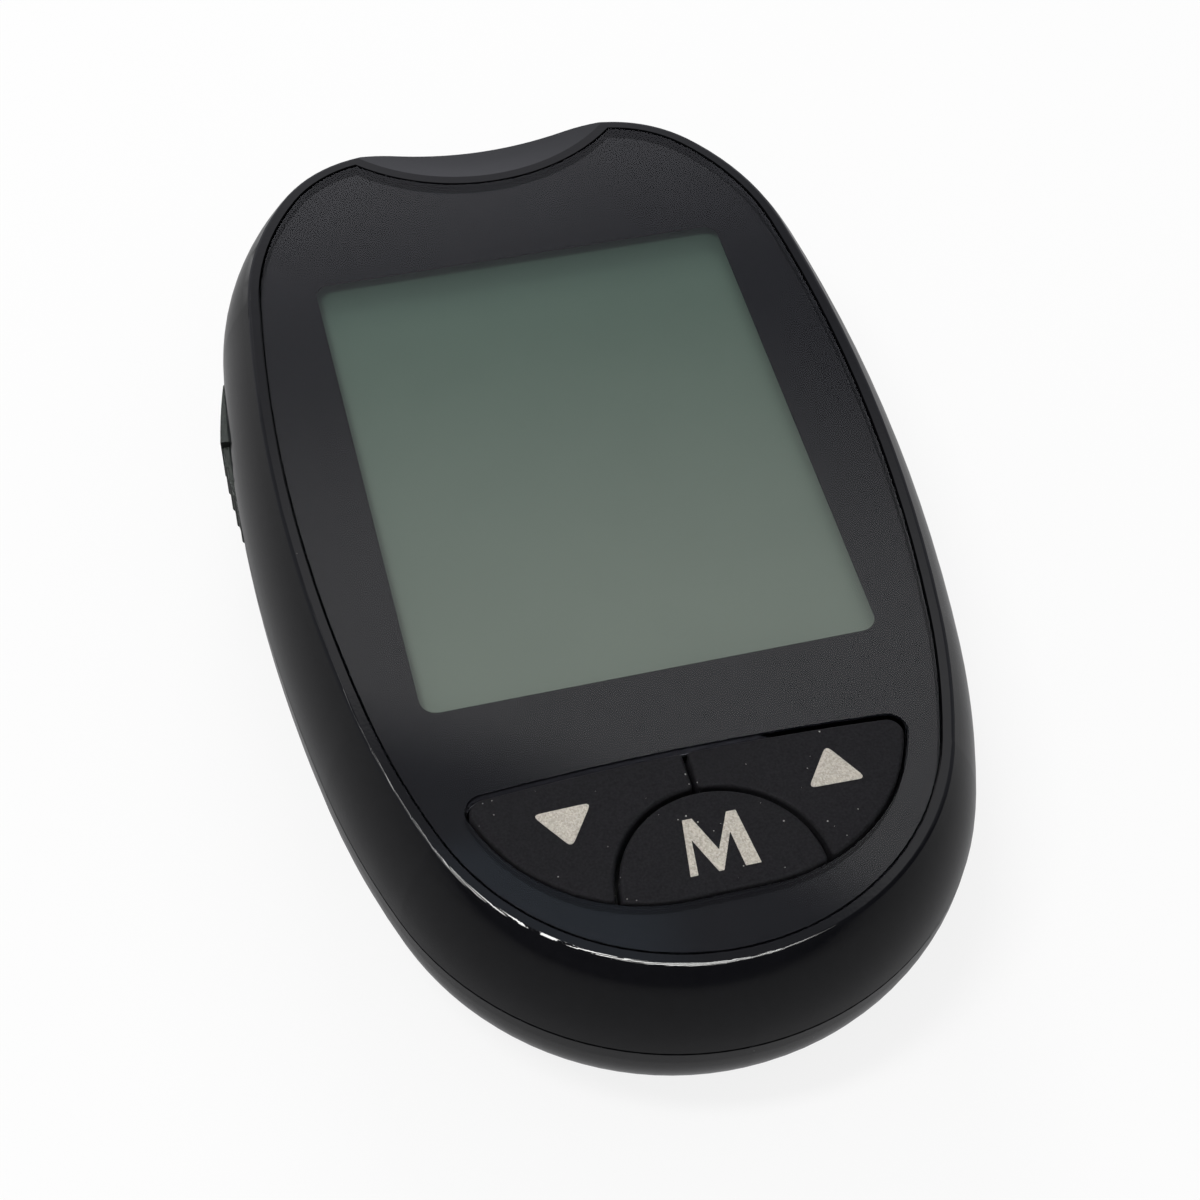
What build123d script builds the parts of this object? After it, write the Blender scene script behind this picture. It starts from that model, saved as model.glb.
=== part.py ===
from build123d import *
import os
from math import hypot, sqrt

# A hand-held blood glucose meter, in millimetres. The back lies on z = 0, +Z points up out of the display,
# +Y runs towards the test strip slot, and x = 0 is the middle plane of the case.

# ---- Cells and the room that they set around them ----
battery_length = 44.5
battery_diameter = 10.5
battery_gap = 0.4
well_play = 0.25
well_wall = 1.1
spring_height = 3.6
contact_thickness = 0.3
contact_dimple = 0.35
layer_gap = 0.05
heel_room = 16.5
port_room = 24.05
side_room = 15.4

battery_x = (battery_diameter + battery_gap) / 2
well_half_width = battery_x + battery_diameter / 2 + well_play
contact_room = 2 * (contact_thickness + layer_gap) + contact_dimple + 2 * layer_gap
well_length = battery_length + spring_height + contact_room
body_length = heel_room + well_length + port_room
body_width = 2 * (well_half_width + well_wall + side_room)
heel_y = -body_length / 2
tip_y = body_length / 2
well_low_y = heel_y + heel_room
well_high_y = well_low_y + well_length

# ---- Plan outline: six arcs on each side of the middle plane, each tangent to the next ----
widest_y = 0.0835 * body_length
heel_radius = 0.43 * body_width
lower_side_radius = 1.184 * body_width
shoulder_radius = 0.4645 * body_width
hump_radius = 0.2477 * body_width
hump_x = 0.182 * body_width
side_ease = 1.125
port_dip = 1.0

# ---- Case walls ----
wall = 1.5
joint_rise = 3.75
rear_skirt = 1.4
rear_turn_in = 8.2
core_lap = 0.5
rim_inset = 2.9
rim_width = 0.8
side_arc_radius = 15.3
rim_rounding = 0.35
reveal_width = 0.35
reveal_height = 0.25
tongue_width = 0.8
tongue_height = 1.2
tongue_gap = 0.1
tongue_root = 2.0
hook_tab_width = 7.0
hook_tab_thickness = 1.0
hook_barb = 0.45
scoop_radius = 16.0
scoop_ball_radius = 45.0
scoop_reach = 6.6

# ---- Layers, from the back up to the rim ----
cover_recess = 0.1
cover_thickness = 1.2
battery_play = 0.1
ceiling_play = 0.25
ceiling_thickness = 0.8
board_play = 0.15
board_thickness = 0.8
board_clearance = 0.7
holder_floor = 0.55
reflector_thickness = 0.15
glass_thickness = 0.55
deck_thickness = 0.9
tape_thickness = 0.15
print_thickness = 0.1
lens_thickness = 0.85
rim_stand = 0.05

cover_inside = cover_recess + cover_thickness
battery_z = cover_inside + battery_play + battery_diameter / 2
rear_height = battery_z + joint_rise
ceiling_bottom = battery_z + battery_diameter / 2 + ceiling_play
ceiling_top = ceiling_bottom + ceiling_thickness
board_bottom = ceiling_top + board_play
board_top = board_bottom + board_thickness
holder_bottom = board_top + layer_gap
reflector_bottom = holder_bottom + holder_floor + layer_gap
rear_glass_bottom = reflector_bottom + reflector_thickness
front_glass_bottom = rear_glass_bottom + glass_thickness
front_glass_top = front_glass_bottom + glass_thickness
deck_bottom = front_glass_top + 2 * layer_gap
deck_top = deck_bottom + deck_thickness
tape_top = deck_top + tape_thickness
print_top = tape_top + print_thickness
lens_bottom = print_top + layer_gap
lens_top = lens_bottom + lens_thickness
body_height = lens_top + rim_stand

# ---- Keypad field: a slot-shaped outline under an arched top, set out from the heel ----
key_side_x = 0.0542 * body_width
key_side_y = heel_y + 0.406 * body_width
key_side_radius = 0.2568 * body_width
key_arch_y = heel_y + 0.3685 * body_width
key_arch_radius = 4.0 * body_width

# ---- Display ----
window_side = 9.8
window_gap = 7.5
window_end = 17.3
window_width = body_width - 2 * window_side
window_low = key_arch_y + window_gap
window_high = tip_y - window_end
window_length = window_high - window_low
window_y = (window_low + window_high) / 2
window_corner = 1.3
polariser_thickness = 0.2
polariser_margin = 0.9
polariser_gap = 0.3
glass_margin = 1.4
glass_ledge = 2.4
holder_wall = 0.7
holder_gap = 0.1
elastomer_width = 1.5
elastomer_side = 2.0
holder_rib = 2.0
lens_gap = 0.1
notch_gap = 0.04

# ---- Keys: the field cut into three ----
key_tip_radius = 1.4
mode_key_y = heel_y + 0.1658 * body_width
mode_key_radius = 0.1393 * body_width
key_edge_gap = 0.2
key_split = 0.35
key_rounding = 0.25
key_corner = 0.35
key_drop = 0.2
key_travel = 0.6
key_flange = 0.6
key_flange_thickness = 0.6
key_plunger_radius = 1.5
dome_radius = 2.4
dome_height = 0.3
dome_sheet = 0.08
mat_gap = 0.3
mat_wall = 1.2
mat_web = 0.3
side_dome_x = 0.194 * body_width
side_dome_y = heel_y + 0.286 * body_width
mode_dome_y = heel_y + 0.2168 * body_width

# ---- Battery compartment and its cover ----
battery_nub_radius = 1.9
battery_nub_length = 0.8
contact_width = 7.0
contact_below = 3.4
contact_above = 3.6
bump_disc = 1.4
tail_width = 2.4
bay_length = 5.0
bay_half_width = 9.2
bay_ceiling = 7.0
cover_side_lap = 2.4
cover_end_lap = 2.1
cover_corner = 4.0
cover_heel_corner = 11.0
cover_gap = 0.2
ledge_height = 1.4
set_travel = 0.3
set_radius = 1.6
set_offset = 3.0
hook_x = 7.0
hook_width = 4.0
hook_length = 1.8
hook_thickness = 0.9
latch_width = 7.0
latch_height = 4.3
latch_thickness = 0.8
latch_clearance = 0.35
latch_span = 2.6
latch_foot = 0.2
bay_margin = 1.2
ledge_lap = 1.0
set_collar_radius = 2.2
set_collar_thickness = 0.55
set_stand = 1.3
set_stem_radius = 1.0
set_switch_size = 4.4
set_switch_height = 1.6
set_switch_nub = 0.6
groove_count = 4
groove_pitch = 1.5
groove_radius = 0.35
groove_length = 13.0

# ---- Strip port, connector and ejector ----
strip_width = 7.0
strip_thickness = 0.45
strip_play = 0.3
strip_rise = 0.55
port_width = 12.6
port_height = 2.3
port_rise = 0.5
connector_width = 10.6
connector_height = 1.9
connector_length = 9.0
contact_x = (1.35, 2.55)
contact_leaf_width = 0.5
contact_leaf_thickness = 0.15
ejector_travel = 5.0
pusher_width = 1.6
pusher_thickness = 1.2
pusher_clearance = 0.4
pusher_side_gap = 0.3
spring_room = 7.6
spring_turns = 5
spring_coil_radius = 0.78
spring_wire_radius = 0.17
rib_count = 5
rib_radius = 0.4
rib_stand = 0.12
ejector_back = 16.8
ejector_length = 17.6
ejector_height = 4.4
pocket_depth = 1.85
ejector_stand = 0.3
ejector_slope = 1.2
ejector_bend = 0.55
ejector_grip = 0.1
ejector_grip_share = 0.62
ejector_grip_drop = 0.7
ejector_nose = 0.7
ejector_corner = 0.35
ejector_gap = 0.15
neck_length = 4.0
neck_height = 1.6
carriage_inset = 6.25
carriage_width = 2.0
carriage_thickness = 1.8
arm_gap = 2.45
arm_width = 2.6

carriage_x = carriage_inset - body_width / 2
arm_y = well_high_y + well_wall + arm_gap
ejector_low_y = arm_y - ejector_back

# ---- Parts under the board, in the free strip beside the battery well; places are shares of its length ----
side_gap = 1.0
chip_size = 7.2
chip_lead = 0.8
chip_leads = 7
chip_pitch = 0.9
chip_pin = 0.3
chip_height = 1.2
chip_place = 0.394
module_width = 7.8
module_length = 11.0
module_height = 1.6
module_base = 0.5
module_margin = 0.5
module_aerial = 2.0
module_place = 1.034
buzzer_size = 8.4
buzzer_height = 1.9
buzzer_hole = 1.0
buzzer_hole_depth = 0.7
buzzer_place = 0.688
crystal_width = 3.2
crystal_length = 5.0
crystal_place = 0.211

# ---- Fasteners and posts ----
screw_x = 0.3 * body_width
screw_inset = 8.9
screw_y = tip_y - screw_inset
screw_radius = 0.8
screw_head_radius = 1.7
screw_head_height = 1.1
screw_length = 7.0
screw_seat_depth = 3.0
screw_cross = 2.0
screw_cross_width = 0.45
screw_cross_depth = 0.6
boss_radius = 1.9
shoulder_post_radius = 2.7
post_height = rear_height - 2.0
running_gap = 0.1


# ---- Shared construction ----
def meet(a, from_a, b, from_b, side):
    """The point at two given distances from a and b, left (1) or right (-1) of the way from a to b."""
    dx, dy = b[0] - a[0], b[1] - a[1]
    gap = hypot(dx, dy)
    along = (from_a**2 - from_b**2 + gap**2) / (2 * gap)
    off = side * sqrt(from_a**2 - along**2)
    return (a[0] + (dx * along - dy * off) / gap, a[1] + (dy * along + dx * off) / gap)


def outline_arcs():
    """Centre and radius of the arcs up the right side, from the heel to the dip at the strip slot."""
    heel = (0, heel_y + heel_radius)
    rise = widest_y - heel[1]
    direct_radius = (rise**2 + body_width**2 / 4 - heel_radius**2) / (body_width - 2 * heel_radius)
    side_radius = side_ease * direct_radius
    side = (body_width / 2 - side_radius, widest_y)
    hump = (hump_x, tip_y - hump_radius)
    lower_side = meet(heel, lower_side_radius - heel_radius, side, side_radius - lower_side_radius, -1)
    shoulder = meet(hump, shoulder_radius - hump_radius, side, side_radius - shoulder_radius, 1)
    dip_radius = (hump_x**2 + port_dip**2) / (2 * port_dip) - hump_radius
    dip = (0, tip_y - port_dip + dip_radius)
    return [
        (heel, heel_radius),
        (lower_side, lower_side_radius),
        (side, side_radius),
        (shoulder, shoulder_radius),
        (hump, hump_radius),
        (dip, -dip_radius),
    ]


def arc_about(centre, radius, start, end):
    """The short arc about a centre from one point to another."""
    mid = ((start[0] + end[0]) / 2 - centre[0], (start[1] + end[1]) / 2 - centre[1])
    reach = abs(radius) / hypot(*mid)
    return ThreePointArc(start, (centre[0] + mid[0] * reach, centre[1] + mid[1] * reach), end)


def outline(inset=0.0):
    """The plan outline moved in by inset: the same arc centres with shorter radii."""
    arcs = outline_arcs()
    joints = [(0, arcs[0][0][1] - arcs[0][1] + inset)]
    for (c, r), (d, s) in zip(arcs, arcs[1:]):
        joints.append(tuple((c[i] * (s - inset) - d[i] * (r - inset)) / (s - r) for i in (0, 1)))
    joints.append((0, arcs[-1][0][1] + arcs[-1][1] - inset))
    right = [arc_about(c, r - inset, a, b) for (c, r), a, b in zip(arcs, joints, joints[1:])]
    left = [edge.mirror(Plane.YZ) for edge in reversed(right)]
    return Wire(right + left)


def prism(inset, low, high):
    """A block of the plan outline between two heights."""
    return Pos(0, 0, low) * extrude(Face(outline(inset)), high - low)


def around(section):
    """Carries a section, drawn as inset and height, once around the outline."""
    heel_plane = Plane(origin=(0, heel_y, 0), x_dir=(0, 1, 0), z_dir=(1, 0, 0))
    return sweep(heel_plane * section, path=outline())


def side_arc():
    """Centre, as inset and height, of the arc of the front case's side wall."""
    rise = body_height - rear_height
    chord = hypot(rim_inset, rise)
    back = sqrt(side_arc_radius**2 - chord**2 / 4)
    return (rim_inset / 2 + rise / chord * back, rear_height + rise / 2 - rim_inset / chord * back)


def side_inset(height, depth=0.0):
    """Inset at a height of the surface that lies a depth inside the front case's side wall."""
    centre = side_arc()
    return centre[0] - sqrt((side_arc_radius - depth) ** 2 - (height - centre[1]) ** 2)


def front_form(depth, low, high):
    """The front case's body, its side a depth inside the outer one, between two heights."""
    low_point = (side_inset(low, depth), low)
    high_point = (side_inset(high, depth), high)
    inner = rear_turn_in + core_lap
    arc = RadiusArc(low_point, high_point, side_arc_radius - depth)
    rest = Polyline(high_point, (inner, high), (inner, low), low_point)
    section = make_face([arc, *rest.edges()])
    return around(section) + prism(rear_turn_in, low, high)


def rear_form(depth, top=rear_height):
    """The rear case's bowl: an upright skirt over a quarter ellipse, a depth inside, up to a height."""
    inner = rear_turn_in + core_lap
    bend = rear_height - rear_skirt
    arc = EllipticalCenterArc((rear_turn_in, bend), rear_turn_in - depth, bend - depth, 180, arc_size=90)
    corners = [(rear_turn_in, depth), (inner, depth), (inner, top), (depth, top), (depth, bend)]
    section = make_face([arc, *Polyline(*corners).edges()])
    return around(section) + prism(rear_turn_in, depth, top)


def block(x, y, z):
    """A box between three pairs of limits."""
    size = [b - a for a, b in (x, y, z)]
    return Pos(*[(a + b) / 2 for a, b in (x, y, z)]) * Box(*size)


def rod(radius, x, y, low, high):
    """An upright cylinder between two heights."""
    return Pos(x, y, low) * extrude(Circle(radius), high - low)


def plate(sketch, low, high):
    """A flat sketch given a thickness between two heights."""
    return Pos(0, 0, low) * extrude(sketch, high - low)


def centred_rectangle(width, low_y, high_y, corner):
    """A rectangle about the middle plane with rounded corners."""
    return Pos(0, (low_y + high_y) / 2) * RectangleRounded(width, high_y - low_y, corner)


def both_sides(shape):
    """The shape and its mirror image across the middle plane."""
    return shape + mirror(shape, about=Plane.YZ)


# ---- Display stack ----
def window(grow, corner):
    """The viewing window, grown all round."""
    return centred_rectangle(window_width + 2 * grow, window_low - grow, window_high + grow, corner)


def scoop_y():
    """Middle of the finger scoop, past the tip of the case."""
    return tip_y - port_dip - scoop_reach + scoop_radius


def scoop_notch(grow):
    """Upright cylinder over the finger scoop at the strip slot."""
    return rod(scoop_radius + grow, 0, scoop_y(), 0, 2 * body_height)


def scoop_ball():
    """The shallow ball that hollows the scoop out of the rim."""
    lift = sqrt(scoop_ball_radius**2 - scoop_radius**2)
    return Pos(0, scoop_y(), body_height + lift) * Sphere(scoop_ball_radius)


def panel(inset_more, low, high):
    """A sheet of the front panel's outline, notched for the scoop and cut for the keys."""
    inset = rim_inset + rim_width + inset_more
    sheet = prism(inset, low, high) - plate(key_field(0), low, high)
    return sheet - scoop_notch(rim_width + notch_gap)


def display_lens():
    """Clear panel over the display and around the keys."""
    lens = panel(lens_gap, lens_bottom, lens_top)
    top_edges = lens.edges().group_by(Axis.Z)[-1]
    return chamfer(top_edges, 0.12)


def lens_print():
    """Black print on the back of the lens, open at the window."""
    return panel(lens_gap, tape_top, print_top) - plate(window(0, window_corner), tape_top, print_top)


def lens_tape():
    """Adhesive ring between the print and the front case, open over the whole glass."""
    tape = panel(2 * lens_gap, deck_top, tape_top)
    return tape - plate(window(polariser_margin + polariser_gap, window_corner), deck_top, tape_top)


def lcd_polariser():
    """Front polarising film, glued to the front glass and seen through the window."""
    return plate(window(polariser_margin, 0.5), front_glass_top, front_glass_top + polariser_thickness)


def lcd_front_glass():
    """Upper glass, longer at the heel, where its contacts lie."""
    low_y = window_low - glass_margin - glass_ledge
    sheet = centred_rectangle(window_width + 2 * glass_margin, low_y, window_high + glass_margin, 0.3)
    return plate(sheet, front_glass_bottom, front_glass_top)


def lcd_rear_glass():
    """Lower glass, which leaves the contact ledge bare."""
    return plate(window(glass_margin, 0.3), rear_glass_bottom, front_glass_bottom)


def lcd_reflector():
    """Reflecting film under the rear glass."""
    return plate(window(polariser_margin, 0.5), reflector_bottom, rear_glass_bottom)


def elastomer_strip():
    """Striped rubber strip that joins the glass ledge to the board."""
    middle = window_low - glass_margin - glass_ledge / 2
    length = window_width - 2 * elastomer_side
    y = (middle - elastomer_width / 2, middle + elastomer_width / 2)
    return block((-length / 2, length / 2), y, (board_top, front_glass_bottom))


def lcd_holder():
    """Tray that holds the glass over the board, with a slot for the elastomer strip."""
    low_y = window_low - glass_margin - glass_ledge - holder_gap
    high_y = window_high + glass_margin + holder_gap
    inside = window_width + 2 * (glass_margin + holder_gap)
    outer = centred_rectangle(inside + 2 * holder_wall, low_y - holder_wall, high_y + holder_wall, 1.0)
    tray = plate(outer, holder_bottom, front_glass_top - glass_thickness / 2)
    floor_top = holder_bottom + holder_floor
    tray -= plate(centred_rectangle(inside, low_y, high_y, 0.3), floor_top, body_height)
    middle = window_low - glass_margin - glass_ledge / 2
    slot_y = (middle - elastomer_width / 2 - holder_gap, middle + elastomer_width / 2 + holder_gap)
    slot_x = window_width / 2 - elastomer_side + holder_gap
    tray -= block((-slot_x, slot_x), slot_y, (0, body_height))
    step_x, step_y = window_width / 3.2, window_length / 3.6
    hole = RectangleRounded(step_x - holder_rib, step_y - holder_rib, 1.5)
    for place in GridLocations(step_x, step_y, 3, 3):
        tray -= plate(Pos(0, window_y) * place * hole, 0, body_height)
    return tray


# ---- Keypad ----
def key_field(grow):
    """The field of the three keys, grown all round."""
    slot = Pos(0, key_side_y) * SlotCenterToCenter(2 * key_side_x, 2 * key_side_radius)
    arch = Pos(0, key_arch_y - key_arch_radius) * Circle(key_arch_radius)
    field = slot & arch
    tips = field.vertices().group_by(Axis.Y)[-1]
    field = fillet(tips, key_tip_radius)
    return offset(field, grow) if grow else field


def mode_disc(grow):
    """Disc of the middle key, with its seam at the heel, outside the field."""
    return Pos(0, mode_key_y) * Rot(0, 0, -90) * Circle(mode_key_radius + grow)


def key_cell(name, field):
    """The part of a field that belongs to the middle or the right key."""
    if name == "mode":
        return field & mode_disc(-key_split / 2)
    half = body_width / 2
    right = Pos((half + key_split) / 2, key_side_y) * Rectangle(half, body_width)
    return (field & right) - mode_disc(key_split / 2)


def key_corners(cell):
    """The corners that the gaps between the keys cut into a cell."""
    def is_cut(corner):
        off_disc = abs(hypot(corner.X, corner.Y - mode_key_y) - mode_key_radius)
        return min(off_disc, abs(corner.X)) < key_split

    return cell.vertices().filter_by(is_cut)


def key_centre(name):
    """Where a key presses its dome."""
    if name == "mode":
        return (0, mode_dome_y)
    side = 1 if name == "up" else -1
    return (side * side_dome_x, side_dome_y)


def key(name):
    """One key: a rounded cap, a wider flange under the deck and a plunger over the dome."""
    if name == "down":
        return mirror(key("up"), about=Plane.YZ)
    cell = key_cell(name, key_field(-key_edge_gap))
    flange_top = deck_bottom - layer_gap
    flange_low = flange_top - key_flange_thickness
    cap = plate(fillet(key_corners(cell), key_corner), flange_low, lens_top - key_drop)
    cap = fillet(cap.edges().group_by(Axis.Z)[-1], key_rounding)
    flange = plate(key_cell(name, key_field(key_flange)), flange_low, flange_top)
    x, y = key_centre(name)
    plunger_low = board_top + dome_height + key_travel + layer_gap
    return cap + flange + rod(key_plunger_radius, x, y, plunger_low, flange_low)


def dome_switches():
    """Three snap domes on the board, one under each key."""
    ball_radius = (dome_radius**2 + dome_height**2) / (2 * dome_height)
    ball = Sphere(ball_radius) - Sphere(ball_radius - dome_sheet)
    cap = ball & Pos(0, 0, ball_radius) * Box(3 * dome_radius, 3 * dome_radius, 2 * dome_height)
    domes = []
    for name in ("down", "mode", "up"):
        x, y = key_centre(name)
        domes.append(Pos(x, y, board_top + dome_height - ball_radius) * cap)
    return Compound(children=[solid for dome in domes for solid in dome.solids()])


def keypad_mat():
    """Soft frame around the keys: a thin web on the board and a wall up to the deck."""
    outer = key_field(key_flange + mat_gap + mat_wall)
    inner = key_field(key_flange + mat_gap)
    mat = plate(outer, board_top, deck_bottom) - plate(inner, board_top + mat_web, body_height)
    for name in ("down", "mode", "up"):
        x, y = key_centre(name)
        mat -= rod(dome_radius + mat_gap, x, y, 0, body_height)
    return mat


# ---- Batteries and contacts ----
def battery(side):
    """One cylindrical cell: its nub points up the case on the left and down it on the right."""
    radius = battery_diameter / 2
    body_end = battery_length - battery_nub_length
    profile = Polyline(
        (0, 0.3), (radius * 0.72, 0.3), (radius * 0.76, 0), (radius - 0.4, 0), (radius, 0.4),
        (radius, body_end - 0.5), (radius - 0.5, body_end), (battery_nub_radius, body_end),
        (battery_nub_radius, battery_length - 0.15), (battery_nub_radius - 0.15, battery_length),
        (0, battery_length), (0, 0.3),
    )
    cell = revolve(make_face(profile), Axis.Y)
    far_contact = contact_thickness + layer_gap + contact_dimple + layer_gap
    if side < 0:
        return Pos(-battery_x, well_high_y - far_contact - battery_length, battery_z) * cell
    cell = mirror(cell, about=Plane.XZ)
    return Pos(battery_x, well_low_y + far_contact + battery_length, battery_z) * cell


def contact_spring(x, y, direction):
    """Cone of spring wire that presses on a cell's flat end."""
    wire_radius = 0.28
    sunk = wire_radius / 2
    coil = Helix(1.15, spring_height - 2 * wire_radius + sunk, 3.2, cone_angle=-12)
    ring = Plane(origin=coil @ 0, z_dir=coil % 0) * Circle(wire_radius)
    spring = sweep(ring, path=coil, is_frenet=True)
    turned = Rot(-90 * direction, 0, 0) * Pos(0, 0, wire_radius - sunk) * spring
    return Pos(x, y, battery_z) * turned


def contact_plate(x, width, end):
    """Flat contact against an end wall of the well, with a tail up to the board."""
    back = well_low_y + layer_gap if end < 0 else well_high_y - layer_gap
    front = back - end * contact_thickness
    y = (min(back, front), max(back, front))
    face = block((x - width / 2, x + width / 2), y, (battery_z - contact_below, battery_z + contact_above))
    half = tail_width / 2
    tail = block((x - half, x + half), y, (battery_z, board_bottom - layer_gap))
    return face + tail


def contact_bump(x, end):
    """Domed bump that meets a cell's nub."""
    back = well_low_y + layer_gap if end < 0 else well_high_y - layer_gap
    face_y = back - end * contact_thickness
    bump_radius = (bump_disc**2 + contact_dimple**2) / (2 * contact_dimple)
    ball = Pos(x, face_y + end * (bump_radius - contact_dimple), battery_z) * Sphere(bump_radius)
    reach = 1.5 * bump_disc
    x_span, z_span = (x - reach, x + reach), (battery_z - reach, battery_z + reach)
    keep = block(x_span, sorted((face_y, face_y - end * reach)), z_span)
    return ball & keep


def negative_contact():
    """Spring contact at the heel end of the left cell."""
    spring_y = well_low_y + layer_gap + contact_thickness
    return contact_plate(-battery_x, contact_width, -1) + contact_spring(-battery_x, spring_y, 1)


def positive_contact():
    """Bumped contact at the heel end of the right cell."""
    return contact_plate(battery_x, contact_width, -1) + contact_bump(battery_x, -1)


def bridge_contact():
    """Contact across both cells at the port end: a bump on the left, a spring on the right."""
    spring_y = well_high_y - layer_gap - contact_thickness
    bridge = contact_plate(0, 2 * battery_x + contact_width, 1) + contact_bump(-battery_x, 1)
    return bridge + contact_spring(battery_x, spring_y, -1)


# ---- Battery cover ----
bay_low_y = well_low_y - well_wall - bay_length
cover_low_y = bay_low_y - cover_end_lap + 0.5
cover_high_y = well_high_y + cover_end_lap


def cover_sketch(grow):
    """The cover's plan: small corners at the hooks, large ones at the heel."""
    half = well_half_width + cover_side_lap + grow
    low, high = cover_low_y - grow, cover_high_y + grow
    sheet = Pos(0, (low + high) / 2) * Rectangle(2 * half, high - low)
    sheet = fillet(sheet.vertices().group_by(Axis.Y)[-1], cover_corner + grow)
    return fillet(sheet.vertices().group_by(Axis.Y)[0], cover_heel_corner + grow)


def bay_sketch(grow):
    """The hollow bay's plan: a rectangle whose heel corners follow the cover's."""
    half = bay_half_width + grow
    low, high = bay_low_y - grow, well_low_y - well_wall
    sheet = Pos(0, (low + high) / 2) * Rectangle(2 * half, high - low)
    return sheet & cover_sketch(grow - bay_margin)


def hook(grow):
    """One hook of the cover, reaching past its edge into the case."""
    x = (hook_x - hook_width / 2 - grow, hook_x + hook_width / 2 + grow)
    return block(x, (cover_high_y - 1.2, cover_high_y + hook_length),
                 (cover_inside - 0.2, cover_inside + layer_gap * 3 + hook_thickness))


def cover_latch():
    """Springy tongue at the heel: up from the cover, over in a half round and down to the barb."""
    outer = bay_low_y + latch_clearance
    width = latch_span
    top = cover_inside + latch_height
    bend = top - width / 2
    inner = outer + latch_thickness
    far, near = outer + width, outer + width - latch_thickness
    foot = cover_inside - latch_foot
    loop = make_face([
        Line((outer, bend), (outer, cover_inside + 0.9)),
        Line((outer, cover_inside + 0.9), (inner, cover_inside + 0.5)),
        Line((inner, cover_inside + 0.5), (inner, bend)),
        ThreePointArc((inner, bend), (outer + width / 2, top - latch_thickness), (near, bend)),
        Line((near, bend), (near, foot)),
        Line((near, foot), (far, foot)),
        Line((far, foot), (far, bend)),
        ThreePointArc((far, bend), (outer + width / 2, top), (outer, bend)),
    ])
    upright = Plane(origin=(-latch_width / 2, 0, 0), x_dir=(0, 1, 0), z_dir=(1, 0, 0)) * loop
    return extrude(upright, latch_width, dir=(1, 0, 0))


def battery_cover():
    """Shell of the back over the batteries, with hooks, stiffening ribs, thumb grooves and a latch."""
    shell = rear_form(cover_recess) - rear_form(cover_inside, rear_height + 1)
    cover = shell & plate(cover_sketch(0), 0, rear_height)
    cover += both_sides(hook(0)) + cover_latch()
    for i in range(groove_count):
        groove_y = bay_low_y + bay_length + (i + 1) * groove_pitch
        groove = Cylinder(groove_radius, groove_length - groove_pitch * i)
        cover -= Pos(0, groove_y, cover_recess) * Rot(0, 90, 0) * groove
    return cover


def set_button():
    """Small button in the compartment, pushed in to set the clock."""
    x, y = set_place()
    collar_low = bay_ceiling + ceiling_thickness + layer_gap
    collar_top = collar_low + set_collar_thickness
    cap = rod(set_radius, x, y, bay_ceiling - set_stand, collar_low)
    collar = rod(set_collar_radius, x, y, collar_low, collar_top)
    return cap + collar + rod(set_stem_radius, x, y, collar_top, set_switch_low() - set_travel - layer_gap)


def set_place():
    """Where the set button stands, beside the latch."""
    return (latch_width / 2 + set_offset, bay_low_y + bay_length / 2)


def set_switch_low():
    """Height of the set switch's nub."""
    return board_bottom - set_switch_height - set_switch_nub


def set_switch():
    """Push switch under the board, above the set button."""
    x, y = set_place()
    half = set_switch_size / 2
    body = block((x - half, x + half), (y - half, y + half), (board_bottom - set_switch_height, board_bottom))
    return body + rod(half / 2, x, y, set_switch_low(), board_bottom)


# ---- Rear case ----
def pocket_floor_x():
    """The flat that the ejector's thumb piece slides along."""
    return pocket_depth - body_width / 2


def ejector_pocket():
    """Flat-bottomed pocket in the left side, open towards the strip port."""
    x = (-body_width, pocket_floor_x())
    y = (ejector_low_y - running_gap, ejector_low_y + ejector_length + ejector_travel + 0.4)
    return block(x, y, ejector_span(running_gap * 2))


def ejector_span(grow=0.0):
    """Heights of the thumb piece, just under the parting line."""
    top = rear_height - reveal_height - running_gap
    return (top - ejector_height - grow, top + grow)


def ejector_slot():
    """Opening through the pocket's floor for the thumb piece's neck."""
    middle_z = sum(ejector_span()) / 2
    y = (neck_y()[0] - running_gap, neck_y()[1] + ejector_travel + running_gap)
    z = (middle_z - neck_height / 2 - running_gap, middle_z + neck_height / 2 + running_gap)
    return block((-body_width / 2, carriage_x), y, z)


def neck_y():
    """Limits of the thumb piece's neck."""
    middle = ejector_low_y + ejector_length / 2
    return (middle - neck_length / 2, middle + neck_length / 2)


def tongue_inset():
    """Inset of the joint tongue's outer face, clear of the front case's leaning wall."""
    return side_inset(rear_height + tongue_height, wall) + tongue_gap


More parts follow.
